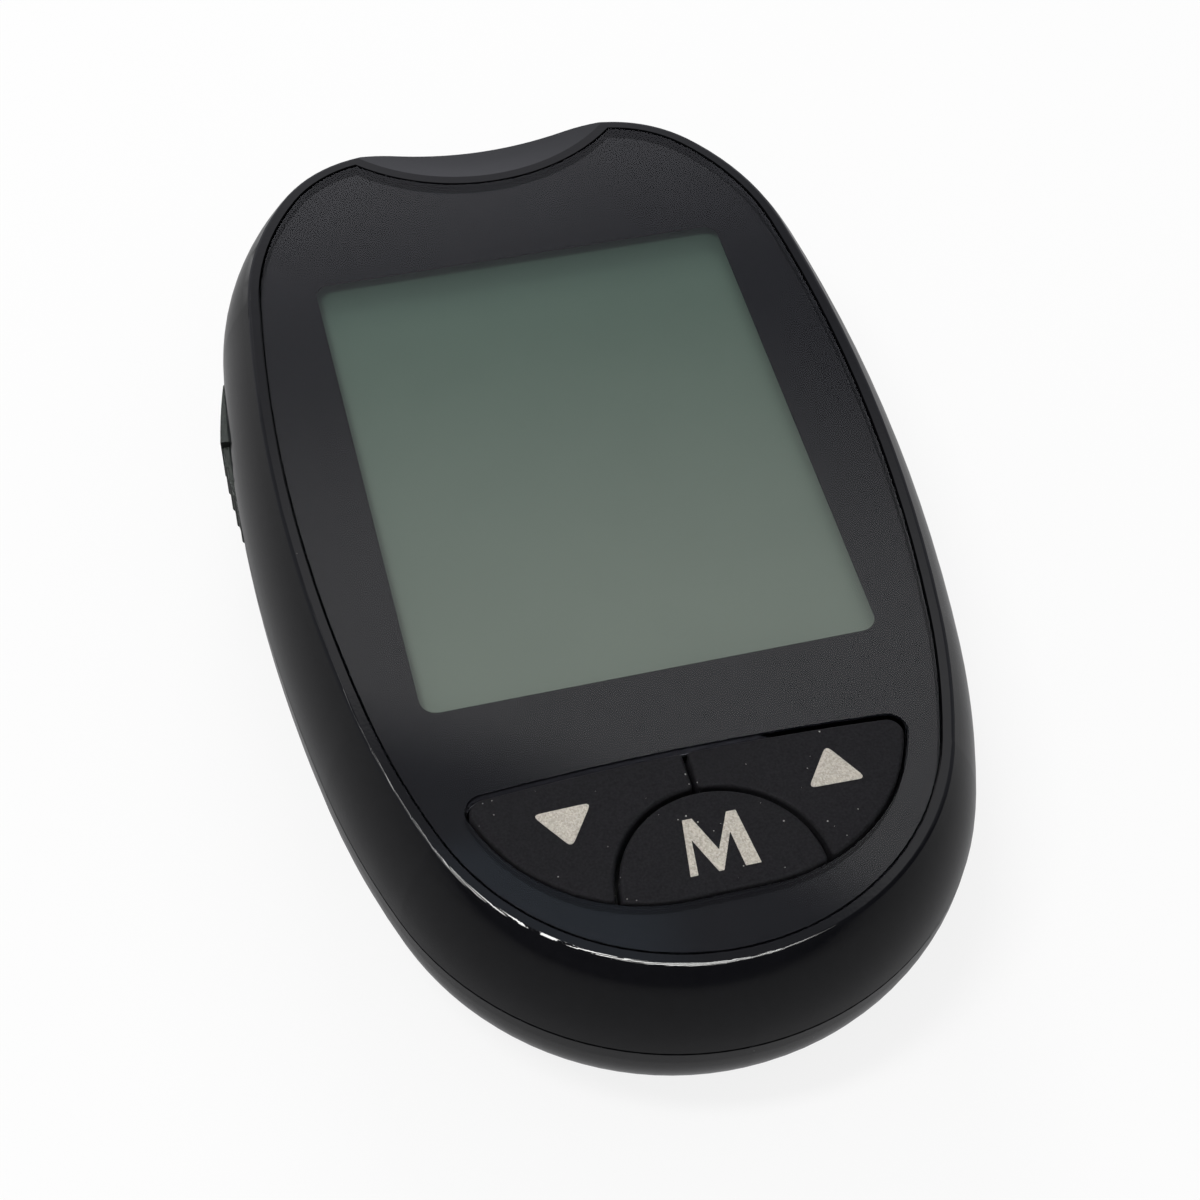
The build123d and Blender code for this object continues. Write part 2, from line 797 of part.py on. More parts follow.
def rear_case():
    """Bowl of the case: shell, joint tongue, battery well, cover ledge, posts and ejector guides."""
    outer = rear_form(0)
    cavity = rear_form(wall, body_height)
    case = outer - cavity

    ejector_backing = block(
        (pocket_floor_x() - 0.5, pocket_floor_x() + wall),
        (ejector_low_y - wall, ejector_low_y + ejector_length + ejector_travel + 1.5),
        (ejector_span()[0] - wall, rear_height),
    )
    case += ejector_backing & outer

    reveal = make_face(Polyline(
        (-1, rear_height - reveal_height), (reveal_width, rear_height - reveal_height),
        (reveal_width, rear_height + 1), (-1, rear_height + 1), (-1, rear_height - reveal_height),
    ))
    case -= around(reveal)
    tongue_low = rear_height - tongue_root
    tongue_in = tongue_inset()
    tongue = make_face(Polyline(
        (tongue_in - 0.2, tongue_low), (tongue_in + tongue_width, tongue_low + 0.6),
        (tongue_in + tongue_width, rear_height + tongue_height), (tongue_in, rear_height + tongue_height),
        (tongue_in, rear_height), (tongue_in - 0.2, rear_height), (tongue_in - 0.2, tongue_low),
    ))
    case += around(tongue)

    case += battery_well() & outer.fuse(prism(wall, rear_height, body_height))
    case -= compartment()
    case -= plate(cover_sketch(cover_gap), -1, rear_height) - rear_form(cover_inside + layer_gap, body_height)
    case -= both_sides(block(
        (hook_x - hook_width / 2 - running_gap, hook_x + hook_width / 2 + running_gap),
        (well_high_y - 0.1, cover_high_y + hook_length + 0.5),
        (cover_inside - 0.4, cover_inside + 2.4),
    ))
    for x, end in ((-battery_x, -1), (battery_x, -1), (0, 1)):
        case -= contact_slot(x, end)

    case += screw_posts() & outer
    case -= screw_holes()
    case -= ejector_pocket()
    case -= ejector_slot()
    case += ejector_guides() & outer
    return case


def battery_well():
    """Walls, ceiling and cover ledge around the cells and the bay at the heel."""
    half = well_half_width + well_wall
    well = block((-half, half), (well_low_y - well_wall, well_high_y + well_wall), (0.2, ceiling_top))
    bay = plate(bay_sketch(well_wall), 0.2, bay_ceiling + ceiling_thickness)
    ledge = plate(cover_sketch(ledge_lap), 0.2, cover_inside + ledge_height)
    return well + bay + ledge


def compartment():
    """Room for the cells, the hollow bay beside the latch and the hole of the set button."""
    cells = block((-well_half_width, well_half_width), (well_low_y, well_high_y), (-1, ceiling_bottom))
    bay = plate(bay_sketch(0), -1, bay_ceiling)
    x, y = set_place()
    return cells + bay + rod(set_radius + running_gap, x, y, 0, rear_height)


def contact_slot(x, end):
    """Slot in the well's ceiling for a contact's tail."""
    back = well_low_y if end < 0 else well_high_y
    y = sorted((back, back - end * (contact_thickness + 3 * layer_gap)))
    half = tail_width / 2 + running_gap
    return block((x - half, x + half), y, (battery_z, body_height))


def screw_posts():
    """Two posts that the case screws pass through."""
    return both_sides(rod(shoulder_post_radius, screw_x, screw_y, 0.2, post_height))


def screw_holes():
    """Clearance holes with a seat for each screw head."""
    seat = post_height - screw_seat_depth
    hole = rod(screw_head_radius + 0.2, screw_x, screw_y, -1, seat)
    hole += rod(screw_radius + 0.15, screw_x, screw_y, -1, body_height)
    return both_sides(hole)


def ejector_guides():
    """Ribs that carry the ejector's carriage and the stop for its spring."""
    bar_low = carriage_low()
    low_x = carriage_x - carriage_width / 2
    high_x = carriage_x + carriage_width / 2
    run = (ejector_low_y + 2, arm_y + arm_width + ejector_travel + 0.6)
    shelf = block((carriage_x - 0.4, carriage_x + 0.4), run, (wall / 2, bar_low - running_gap))
    fence = block((high_x + running_gap * 2, high_x + running_gap * 2 + 0.8), run,
                  (wall / 2, bar_low + carriage_thickness * 0.7))
    stop_y = spring_stop_y()
    stop = block((low_x, high_x + 1.0), (stop_y, stop_y + 0.9), (wall / 2, rear_height - 0.6))
    return shelf + fence + stop


# ---- Front case ----
def port_z():
    """Heights of the strip port's bezel."""
    return (board_top - port_rise, board_top - port_rise + port_height)


def port_y():
    """The port bezel's inner end, just past the edge of the board."""
    return tip_y - port_dip - board_inset() + 0.3


def port_block(grow):
    """The block that the port's bezel is cut from, grown all round."""
    half = port_width / 2 + grow
    z = (port_z()[0] - grow, port_z()[1] + grow)
    return block((-half, half), (port_y() - grow, tip_y + grow), z)


def board_inset():
    """Inset of the board's edge, clear of the leaning wall."""
    return side_inset(board_top, wall) + board_clearance


def front_case():
    """Upper housing: curved side, rim, deck under the lens, scoop, bosses, hooks and port opening."""
    case = front_form(0, rear_height, body_height)
    outer_edge = case.edges().filter_by(lambda e: abs(e.center().Z - body_height) < 0.01)
    case = fillet(outer_edge, rim_rounding)
    pocket = prism(rim_inset + rim_width, deck_top, body_height + 1) - scoop_notch(rim_width)
    case -= pocket
    case -= front_form(wall, rear_height - 0.01, deck_bottom)
    case -= scoop_ball()
    case -= plate(window(polariser_margin + polariser_gap, window_corner), rear_height, body_height)
    case -= plate(key_field(0), rear_height, body_height)
    case -= port_block(running_gap)
    case += bosses()
    case -= pilot_holes()
    return case + snap_hook()


def bosses():
    """Stepped bosses: the shoulder bears on the board, the nose reaches the rear post."""
    shoulder = rod(shoulder_post_radius, screw_x, screw_y, board_top + layer_gap, deck_bottom + 0.1)
    nose = rod(boss_radius, screw_x, screw_y, post_height + running_gap, deck_bottom)
    return both_sides(shoulder + nose)


def pilot_holes():
    """Holes that the case screws cut their thread in."""
    return both_sides(rod(screw_radius, screw_x, screw_y, 0, deck_bottom - 0.4))


def snap_y():
    """Outer face of the heel's snap tab, just inside the rear case's tongue."""
    tongue_radius = heel_radius - tongue_inset() - tongue_width
    return heel_y + heel_radius - sqrt(tongue_radius**2 - (hook_tab_width / 2) ** 2) + running_gap


def snap_hook():
    """Tab at the heel, with a ramped barb that catches under the rear case's tongue."""
    y = snap_y()
    barb_top = rear_height - tongue_root
    tip = barb_top - 1.2
    side = make_face(Polyline(
        (y, deck_bottom + 0.1), (y, barb_top), (y - hook_barb, barb_top - 0.1),
        (y - hook_barb, barb_top - 0.4), (y + 0.2, tip), (y + hook_tab_thickness, tip),
        (y + hook_tab_thickness, deck_bottom + 0.1), (y, deck_bottom + 0.1),
    ))
    upright = Plane(origin=(-hook_tab_width / 2, 0, 0), x_dir=(0, 1, 0), z_dir=(1, 0, 0)) * side
    return extrude(upright, hook_tab_width, dir=(1, 0, 0))


def main_board():
    """Circuit board: the outline's shape, pierced for the bosses, the pusher and the snap hooks."""
    board = prism(board_inset(), board_bottom, board_top) - port_block(2 * running_gap)
    board -= both_sides(rod(boss_radius + running_gap, screw_x, screw_y, 0, body_height))
    half = pusher_width / 2 + pusher_side_gap
    way = (pusher_y()[0] - pusher_side_gap, pusher_y()[1] + ejector_travel + pusher_side_gap)
    board -= block((-half, half), way, (0, body_height))
    half = hook_tab_width / 2 + 0.3
    board -= block((-half, half), (heel_y, snap_y() + hook_tab_thickness + 0.3), (0, body_height))
    return board


def beside_well(width):
    """Middle of a part of a given width in the strip beside the battery well."""
    return well_half_width + well_wall + side_gap + width / 2


def along_well(place):
    """The y at a share of the battery well's length from its heel end."""
    return well_low_y + place * well_length


def microcontroller():
    """Square chip with leads on all four sides, under the board beside the well."""
    reach = chip_size / 2 + chip_lead
    x, y, half = beside_well(2 * reach), along_well(chip_place), chip_size / 2
    top, pin = board_bottom, chip_pin / 2
    chip = block((x - half, x + half), (y - half, y + half), (top - chip_height, top - layer_gap))
    for i in range(chip_leads):
        shift = (i - (chip_leads - 1) / 2) * chip_pitch
        across = block((x - reach, x + reach), (y + shift - pin, y + shift + pin), (top - chip_pin, top))
        along = block((x + shift - pin, x + shift + pin), (y - reach, y + reach), (top - chip_pin, top))
        chip += across + along
    return chip


def radio_module():
    """Shielded wireless module at the edge of the board."""
    x, half = beside_well(module_width), module_width / 2
    low_y = along_well(module_place) - module_length / 2
    high_y = low_y + module_length
    base_low = board_bottom - module_base
    base = block((x - half, x + half), (low_y, high_y), (base_low, board_bottom))
    can_x = (x - half + module_margin, x + half - module_margin)
    can_y = (low_y + module_margin, high_y - module_aerial)
    return base + block(can_x, can_y, (board_bottom - module_height, base_low))


def buzzer():
    """Square sounder with a hole in its face, under the board."""
    x, y, half = beside_well(buzzer_size), along_well(buzzer_place), buzzer_size / 2
    body = block((x - half, x + half), (y - half, y + half), (board_bottom - buzzer_height, board_bottom))
    return body - rod(buzzer_hole, x, y, 0, board_bottom - buzzer_height + buzzer_hole_depth)


def crystal():
    """Metal can of the clock's crystal."""
    x, y = beside_well(crystal_width), along_well(crystal_place)
    half, reach = crystal_width / 2, crystal_length / 2
    can = block((x - half, x + half), (y - reach, y + reach), (board_bottom - 1.0, board_bottom))
    return fillet(can.edges().filter_by(Axis.Z), 0.7)


# ---- Strip port and connector ----
def strip_z():
    """Height of the middle of the strip's way."""
    return board_top + strip_rise


def strip_port():
    """Bezel of the strip slot: its face follows the case, its mouth narrows inwards."""
    bezel = port_block(0) & front_form(0.02, rear_height, body_height)
    wide, high = strip_width + strip_play, strip_thickness + strip_play
    mouth_y = tip_y - port_dip - side_inset(strip_z()) + 0.2
    throat = Plane(origin=(0, port_y() - 0.1, strip_z()), x_dir=(1, 0, 0), z_dir=(0, 1, 0))
    mouth = throat.offset(mouth_y - port_y() + 0.1)
    funnel = loft([throat * Rectangle(wide, high), mouth * Rectangle(wide + 1.6, high + 0.9)])
    return bezel - funnel


def connector_end_y():
    """End of the connector, just inside the front case's wall."""
    return tip_y - port_dip - side_inset(board_top + connector_height, wall) - running_gap


def connector_y():
    """The connector's inner end."""
    return port_y() - connector_length


def strip_connector():
    """Housing on the board that guides the strip under its contacts and lets the pusher through."""
    half = connector_width / 2
    start_y, end_y = connector_y(), connector_end_y()
    body = block((-half, half), (start_y, end_y), (board_top, board_top + connector_height))
    wide, high = strip_width + strip_play, strip_thickness + strip_play
    channel_z = (strip_z() - high / 2, strip_z() + high / 2)
    body -= block((-wide / 2, wide / 2), (start_y - 1, end_y + 1), channel_z)
    cut = pusher_width / 2 + pusher_side_gap
    way = (start_y - 1, pusher_y()[1] + ejector_travel + pusher_side_gap)
    body -= block((-cut, cut), way, (board_top - 1, strip_z()))
    for x in contact_columns():
        body -= block((x - 0.35, x + 0.35), (start_y + 1.2, end_y - 1.6), (strip_z(), board_top + 5))
    return body


def contact_columns():
    """Places of the four leaf contacts across the connector."""
    return [side * x for side in (-1, 1) for x in contact_x]


def connector_contacts():
    """Four leaf contacts that bow down onto the strip."""
    low = strip_z() + strip_thickness / 2 + 0.1
    high = board_top + connector_height - 0.1
    start = connector_y() + 1.4
    end = connector_end_y() - 2.0
    middle, under = (start + end) / 2, high - contact_leaf_thickness
    leaf = make_face([
        ThreePointArc((start, high), (middle, low + 0.1), (end, high)),
        Line((end, high), (end, under)),
        ThreePointArc((end, under), (middle, low), (start, under)),
        Line((start, under), (start, high)),
    ])
    upright = Plane(origin=(-contact_leaf_width / 2, 0, 0), x_dir=(0, 1, 0), z_dir=(1, 0, 0)) * leaf
    leaf_solid = extrude(upright, contact_leaf_width, dir=(1, 0, 0))
    return Compound(children=[(Pos(x, 0, 0) * leaf_solid).solid() for x in contact_columns()])


def port_light():
    """Small lamp on the board that lights the strip slot."""
    x = connector_width / 2 + 1.2
    y = connector_end_y() - 1.4
    return block((x - 0.8, x + 0.8), (y - 0.6, y + 0.6), (board_top, board_top + 0.8))


# ---- Ejector ----
def pusher_y():
    """Limits of the blade behind the strip."""
    high = connector_y() - pusher_clearance
    return (high - pusher_thickness, high)


def carriage_low():
    """Underside of the carriage's bar."""
    return sum(ejector_span()) / 2 - carriage_thickness / 2


def spring_stop_y():
    """Face of the stop that the ejector's spring presses on."""
    return arm_y + arm_width + spring_room


def ejector_slider():
    """Thumb piece on the left side: a raised end, a lower ribbed grip and a neck through the case."""
    floor = pocket_floor_x() - ejector_gap
    low, high = ejector_low_y, ejector_low_y + ejector_length
    crest = -(body_width / 2 + ejector_stand)
    step = low + ejector_length * ejector_grip_share
    grip = crest + ejector_grip
    end = (crest + ejector_slope, high - ejector_corner)
    raised = make_face([
        ThreePointArc((crest, step), (crest + ejector_bend, (step + high) / 2), end),
        *Polyline(end, (end[0] + ejector_corner, high), (floor, high), (floor, step), (crest, step)).edges(),
    ])
    lap = step + layer_gap
    ribbed = make_face([
        ThreePointArc((grip + ejector_nose, low), (grip + ejector_nose / 4, (low + lap) / 2), (grip, lap)),
        *Polyline((grip, lap), (floor, lap), (floor, low), (grip + ejector_nose, low)).edges(),
    ])
    bottom, top = ejector_span()
    slider = plate(raised, bottom, top) + plate(ribbed, bottom, top - ejector_grip_drop)
    rib_pitch = (step - low) / (rib_count + 1)
    for i in range(rib_count):
        y = step - (i + 1) * rib_pitch
        sink = rib_radius - rib_stand + ejector_nose * ((lap - y) / (lap - low)) ** 2
        slider += rod(rib_radius, grip + sink, y, bottom, top - ejector_grip_drop)
    middle_z = (bottom + top) / 2
    neck = block((floor, carriage_x - carriage_width / 2 + 1.0), neck_y(),
                 (middle_z - neck_height / 2, middle_z + neck_height / 2))
    return slider + neck


def ejector_carriage():
    """Carriage inside the case: a bar behind the slider, an arm across and a blade behind the strip."""
    low = carriage_low()
    bar_x = (carriage_x - carriage_width / 2, carriage_x + carriage_width / 2)
    bar = block(bar_x, (neck_y()[0] - 1.5, arm_y + arm_width), (low, low + carriage_thickness))
    arm_top = board_bottom - 0.4
    arm_low = arm_top - 1.6
    upright = block(bar_x, (arm_y, arm_y + arm_width), (low, arm_top))
    half = pusher_width / 2
    arm = block((bar_x[0], half), (arm_y, arm_y + arm_width), (arm_low, arm_top))
    tongue = block((-half, half), (arm_y, pusher_y()[1]), (arm_low, arm_top))
    blade = block((-half, half), pusher_y(), (arm_low, strip_z() + strip_thickness / 2))
    pin = Pos(carriage_x, arm_y + arm_width, low + carriage_thickness / 2) * Rot(-90, 0, 0) * extrude(
        Circle(0.45), 1.4)
    carriage = bar + upright + arm + tongue + blade + pin
    middle_z = sum(ejector_span()) / 2
    socket = block(
        (bar_x[0] - 1, bar_x[0] + 1.0 + layer_gap), (neck_y()[0] - layer_gap, neck_y()[1] + layer_gap),
        (middle_z - neck_height / 2 - layer_gap, middle_z + neck_height / 2 + layer_gap),
    )
    return carriage - socket


def ejector_spring():
    """Coil that pushes the carriage back after the strip is out."""
    start = arm_y + arm_width + layer_gap
    length = spring_stop_y() - start - layer_gap - 2 * spring_wire_radius
    coil = Helix(length / spring_turns, length, spring_coil_radius)
    ring = Plane(origin=coil @ 0, z_dir=coil % 0) * Circle(spring_wire_radius)
    spring = sweep(ring, path=coil, is_frenet=True)
    middle_z = carriage_low() + carriage_thickness / 2
    return Pos(carriage_x, start + spring_wire_radius, middle_z) * Rot(-90, 0, 0) * spring


# ---- Fasteners ----
def case_screws():
    """Two cross-head screws that hold the case shut at the port end."""
    seat = post_height - screw_seat_depth
    screw = rod(screw_head_radius, 0, 0, seat - screw_head_height, seat)
    screw += rod(screw_radius - 0.02, 0, 0, seat, seat + screw_length)
    slot = Box(screw_cross, screw_cross_width, 2 * screw_cross_depth)
    screw -= Pos(0, 0, seat - screw_head_height) * (slot + Rot(0, 0, 90) * slot)
    screws = [Pos(x, screw_y, 0) * screw for x in (-screw_x, screw_x)]
    return Compound(children=[s.solid() for s in screws])


def pieces():
    """Every piece of the meter, by the name of its node."""
    return {
        "front_case": front_case(),
        "rear_case": rear_case(),
        "display_lens": display_lens(),
        "lens_print": lens_print(),
        "lens_tape": lens_tape(),
        "lcd_polariser": lcd_polariser(),
        "lcd_front_glass": lcd_front_glass(),
        "lcd_rear_glass": lcd_rear_glass(),
        "lcd_reflector": lcd_reflector(),
        "lcd_holder": lcd_holder(),
        "elastomer_strip": elastomer_strip(),
        "key_down": key("down"),
        "key_mode": key("mode"),
        "key_up": key("up"),
        "keypad_mat": keypad_mat(),
        "dome_switches": dome_switches(),
        "main_board": main_board(),
        "microcontroller": microcontroller(),
        "radio_module": radio_module(),
        "buzzer": buzzer(),
        "crystal": crystal(),
        "port_light": port_light(),
        "set_switch": set_switch(),
        "set_button": set_button(),
        "strip_port": strip_port(),
        "strip_connector": strip_connector(),
        "connector_contacts": connector_contacts(),
        "ejector_slider": ejector_slider(),
        "ejector_carriage": ejector_carriage(),
        "ejector_spring": ejector_spring(),
        "battery_left": battery(-1),
        "battery_right": battery(1),
        "negative_contact": negative_contact(),
        "positive_contact": positive_contact(),
        "bridge_contact": bridge_contact(),
        "battery_cover": battery_cover(),
        "case_screws": case_screws(),
    }


def main():
    os.makedirs("parts", exist_ok=True)
    for name, shape in pieces().items():
        export_step(shape, f"parts/{name}.step")


if __name__ == "__main__":
    main()
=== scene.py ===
"""Blood glucose meter: finishes, printed key marks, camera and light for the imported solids."""

import bpy
import numpy as np
from mathutils import Matrix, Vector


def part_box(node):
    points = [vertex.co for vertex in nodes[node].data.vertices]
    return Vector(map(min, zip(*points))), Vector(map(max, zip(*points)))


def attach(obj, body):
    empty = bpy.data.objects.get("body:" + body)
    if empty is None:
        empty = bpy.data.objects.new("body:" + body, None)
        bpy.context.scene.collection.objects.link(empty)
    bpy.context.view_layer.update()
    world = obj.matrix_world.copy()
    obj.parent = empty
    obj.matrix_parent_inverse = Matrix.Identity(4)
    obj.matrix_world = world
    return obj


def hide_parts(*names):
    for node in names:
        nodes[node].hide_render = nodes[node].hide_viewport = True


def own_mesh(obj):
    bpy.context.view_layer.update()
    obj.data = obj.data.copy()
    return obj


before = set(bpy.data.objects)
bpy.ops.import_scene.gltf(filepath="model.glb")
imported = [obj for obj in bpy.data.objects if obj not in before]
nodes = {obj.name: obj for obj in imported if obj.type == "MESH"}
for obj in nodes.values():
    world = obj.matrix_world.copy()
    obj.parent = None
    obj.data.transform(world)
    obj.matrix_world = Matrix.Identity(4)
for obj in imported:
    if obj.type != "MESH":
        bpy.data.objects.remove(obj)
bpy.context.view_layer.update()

MM = 0.001
KEY_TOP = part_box("key_mode")[1].z
FLOAT, VECTOR = "NodeSocketFloat", "NodeSocketVector"


# ---- Node helpers ----
def add(tree, kind, **values):
    """A new node; each value goes to the input of that name, or else to the node's own setting."""
    made = tree.nodes.new(kind)
    for name, value in values.items():
        label = name.replace("_", " ").title()
        if label in made.inputs:
            made.inputs[label].default_value = value
        else:
            setattr(made, name, value)
    return made


def join(tree, start, end):
    """A link from an output to an input."""
    tree.links.new(start, end)


def maths(tree, operation, first, second=None, third=None, clamp=False):
    """A Math node whose inputs are numbers or outputs; gives its output."""
    made = add(tree, "ShaderNodeMath", operation=operation, use_clamp=clamp)
    for slot, value in zip(made.inputs, (first, second, third)):
        if isinstance(value, (int, float)):
            slot.default_value = value
        elif value is not None:
            join(tree, value, slot)
    return made.outputs[0]


def times(tree, first, second):
    """The product of two values."""
    return maths(tree, "MULTIPLY", first, second)


def spread(tree, value, low, high, to_low, to_high, smooth=False):
    """Maps a value from one range to another, held at the ends."""
    made = add(tree, "ShaderNodeMapRange", clamp=True)
    made.interpolation_type = "SMOOTHSTEP" if smooth else "LINEAR"
    join(tree, value, made.inputs["Value"])
    labels = ("From Min", "From Max", "To Min", "To Max")
    for name, number in zip(labels, (low, high, to_low, to_high)):
        made.inputs[name].default_value = number
    return made.outputs["Result"]


def step_up(tree, value, limits):
    """A smooth step from 0 at the first limit to 1 at the second."""
    return spread(tree, value, *limits, 0.0, 1.0, smooth=True)


def step_down(tree, value, limits):
    """A smooth step from 1 at the first limit to 0 at the second."""
    return spread(tree, value, *limits, 1.0, 0.0, smooth=True)


def split(tree, vector):
    """The X, Y and Z parts of a vector."""
    made = add(tree, "ShaderNodeSeparateXYZ")
    join(tree, vector, made.inputs[0])
    return made.outputs


def blend_colour(tree, share, first, second):
    """Mixes two colours, given as values or outputs, by a share."""
    made = add(tree, "ShaderNodeMix", data_type="RGBA")
    slots = (made.inputs[0], made.inputs[6], made.inputs[7])
    for slot, value in zip(slots, (share, first, second)):
        if isinstance(value, tuple):
            slot.default_value = (*value, 1)
        elif isinstance(value, (int, float)):
            slot.default_value = value
        else:
            join(tree, value, slot)
    return made.outputs[2]


def blend_shaders(tree, share, first, second):
    """Mixes two shaders by a share."""
    made = add(tree, "ShaderNodeMixShader")
    for slot, value in zip(made.inputs, (share, first, second)):
        join(tree, value, slot)
    return made.outputs[0]


def show(tree, shader):
    """Makes a shader the surface of the material."""
    join(tree, shader, tree.nodes["Material Output"].inputs["Surface"])


# ---- Shared groups, which put out heights, tones and masks ----
def new_group(name, inputs, outputs):
    """An empty node group with named inputs and outputs; gives the group and its two end nodes."""
    tree = bpy.data.node_groups.new(name, "ShaderNodeTree")
    for label, kind, value in inputs:
        made = tree.interface.new_socket(label, in_out="INPUT", socket_type=kind)
        if value is not None:
            made.default_value = value
    for label, kind in outputs:
        tree.interface.new_socket(label, in_out="OUTPUT", socket_type=kind)
    return tree, tree.nodes.new("NodeGroupInput"), tree.nodes.new("NodeGroupOutput")


def make_grain():
    """Fine moulded grain, as a height and a tone.

    The height is 0.6 of a coarse noise and 0.4 of one four times finer; the tone is the coarse
    noise, stretched.
    """
    tree, ins, outs = new_group(
        "moulded_grain",
        [("Place", VECTOR, None), ("Fineness", FLOAT, 4000.0)],
        [("Height", FLOAT), ("Tone", FLOAT)],
    )
    coarse = add(tree, "ShaderNodeTexNoise", detail=3.0, roughness=0.6)
    fine = add(tree, "ShaderNodeTexNoise", detail=2.0, roughness=0.5)
    join(tree, ins.outputs["Place"], coarse.inputs["Vector"])
    join(tree, ins.outputs["Place"], fine.inputs["Vector"])
    join(tree, ins.outputs["Fineness"], coarse.inputs["Scale"])
    join(tree, times(tree, ins.outputs["Fineness"], 4.0), fine.inputs["Scale"])
    coarse_part = times(tree, coarse.outputs[0], 0.6)
    height = maths(tree, "MULTIPLY_ADD", fine.outputs[0], 0.4, coarse_part)
    join(tree, height, outs.inputs["Height"])
    join(tree, spread(tree, coarse.outputs[0], 0.3, 0.7, 0.0, 1.0), outs.inputs["Tone"])
    return tree


def random_cells(tree, ins, scale):
    """Random cells in space; gives the distance to a cell's middle and its three random values."""
    cells = add(tree, "ShaderNodeTexVoronoi", feature="F1")
    join(tree, ins.outputs["Place"], cells.inputs["Vector"])
    join(tree, ins.outputs[scale], cells.inputs["Scale"])
    parts = add(tree, "ShaderNodeSeparateColor")
    join(tree, cells.outputs["Color"], parts.inputs[0])
    return cells.outputs["Distance"], parts.outputs


def make_handling():
    """Traces of handling: soft smudges some millimetres wide, and sparse specks of dust.

    A speck is the middle of a random cell, kept for a share of the cells. Its reach is the speck
    size times 0.4 to 1.4, and its brightness is 0.25 to 1, each at random.
    """
    tree, ins, outs = new_group(
        "handling",
        [("Place", VECTOR, None), ("Smudges", FLOAT, 140.0), ("Cells", FLOAT, 1500.0),
         ("Speck", FLOAT, 0.07), ("Share", FLOAT, 0.13)],
        [("Smudge", FLOAT), ("Dust", FLOAT)],
    )
    smudge = add(tree, "ShaderNodeTexNoise", detail=4.0, roughness=0.55, distortion=0.6)
    join(tree, ins.outputs["Place"], smudge.inputs["Vector"])
    join(tree, ins.outputs["Smudges"], smudge.inputs["Scale"])
    join(tree, step_up(tree, smudge.outputs[0], (0.42, 0.68)), outs.inputs["Smudge"])
    distance, random = random_cells(tree, ins, "Cells")
    reach = times(tree, ins.outputs["Speck"], maths(tree, "ADD", random[1], 0.4))
    near = maths(tree, "LESS_THAN", distance, reach)
    kept = maths(tree, "LESS_THAN", random[0], ins.outputs["Share"])
    shown = times(tree, kept, spread(tree, random[2], 0.0, 1.0, 0.25, 1.0))
    join(tree, times(tree, near, shown), outs.inputs["Dust"])
    return tree


def make_flakes():
    """Metal flakes in a printed ink: random cells of random brightness, lowest in the middle."""
    tree, ins, outs = new_group(
        "ink_flakes",
        [("Place", VECTOR, None), ("Fineness", FLOAT, 9000.0)],
        [("Flake", FLOAT), ("Height", FLOAT)],
    )
    distance, random = random_cells(tree, ins, "Fineness")
    join(tree, random[1], outs.inputs["Flake"])
    join(tree, distance, outs.inputs["Height"])
    return tree


GRAIN, HANDLING, FLAKES = make_grain(), make_handling(), make_flakes()


def place_group(tree, group, place, **values):
    """Puts a shared group into a material, fed with the place and its own values."""
    made = add(tree, "ShaderNodeGroup")
    made.node_tree = group
    join(tree, place, made.inputs["Place"])
    for name, value in values.items():
        made.inputs[name.title()].default_value = value
    return made.outputs


# ---- Materials ----
BLACK = (0.0052, 0.0053, 0.0062)
DUST_COLOUR = (0.55, 0.54, 0.52)
DUST_ROUGHNESS = 0.4
RIM_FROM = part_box("front_case")[1].z - 0.55 * MM
RIM_BLEND = 0.4 * MM
RIM_GLOSS = 0.25
LENS_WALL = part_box("display_lens")[0].z + 0.04 * MM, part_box("display_lens")[1].z - 0.02 * MM
WALL_INK = (0.01, 0.01, 0.012)
SMUDGE_DULLING = 0.985
METAL_FINENESS, METAL_DEPTH = 6000.0, 1.5e-6
CELL_BAND, CELL_BARE = 0.0095, 0.0212


def start_material(name):
    """A new material; gives it with its tree, its shader and its object coordinates."""
    material = bpy.data.materials.new(name)
    material.use_nodes = True
    tree = material.node_tree
    shader = tree.nodes["Principled BSDF"]
    place = add(tree, "ShaderNodeTexCoord").outputs["Object"]
    return material, tree, shader, place


def settle(shader, **values):
    """Sets constants on the shader's own sockets."""
    for name, value in values.items():
        label = name.replace("_", " ").title().replace("Ior", "IOR")
        shader.inputs[label].default_value = value


def add_bump(tree, shader, height, depth):
    """Raises the surface by a height, whose full range is depth metres."""
    bump = add(tree, "ShaderNodeBump", Strength=1.0, Distance=depth)
    join(tree, height, bump.inputs["Height"])
    join(tree, bump.outputs["Normal"], shader.inputs["Normal"])


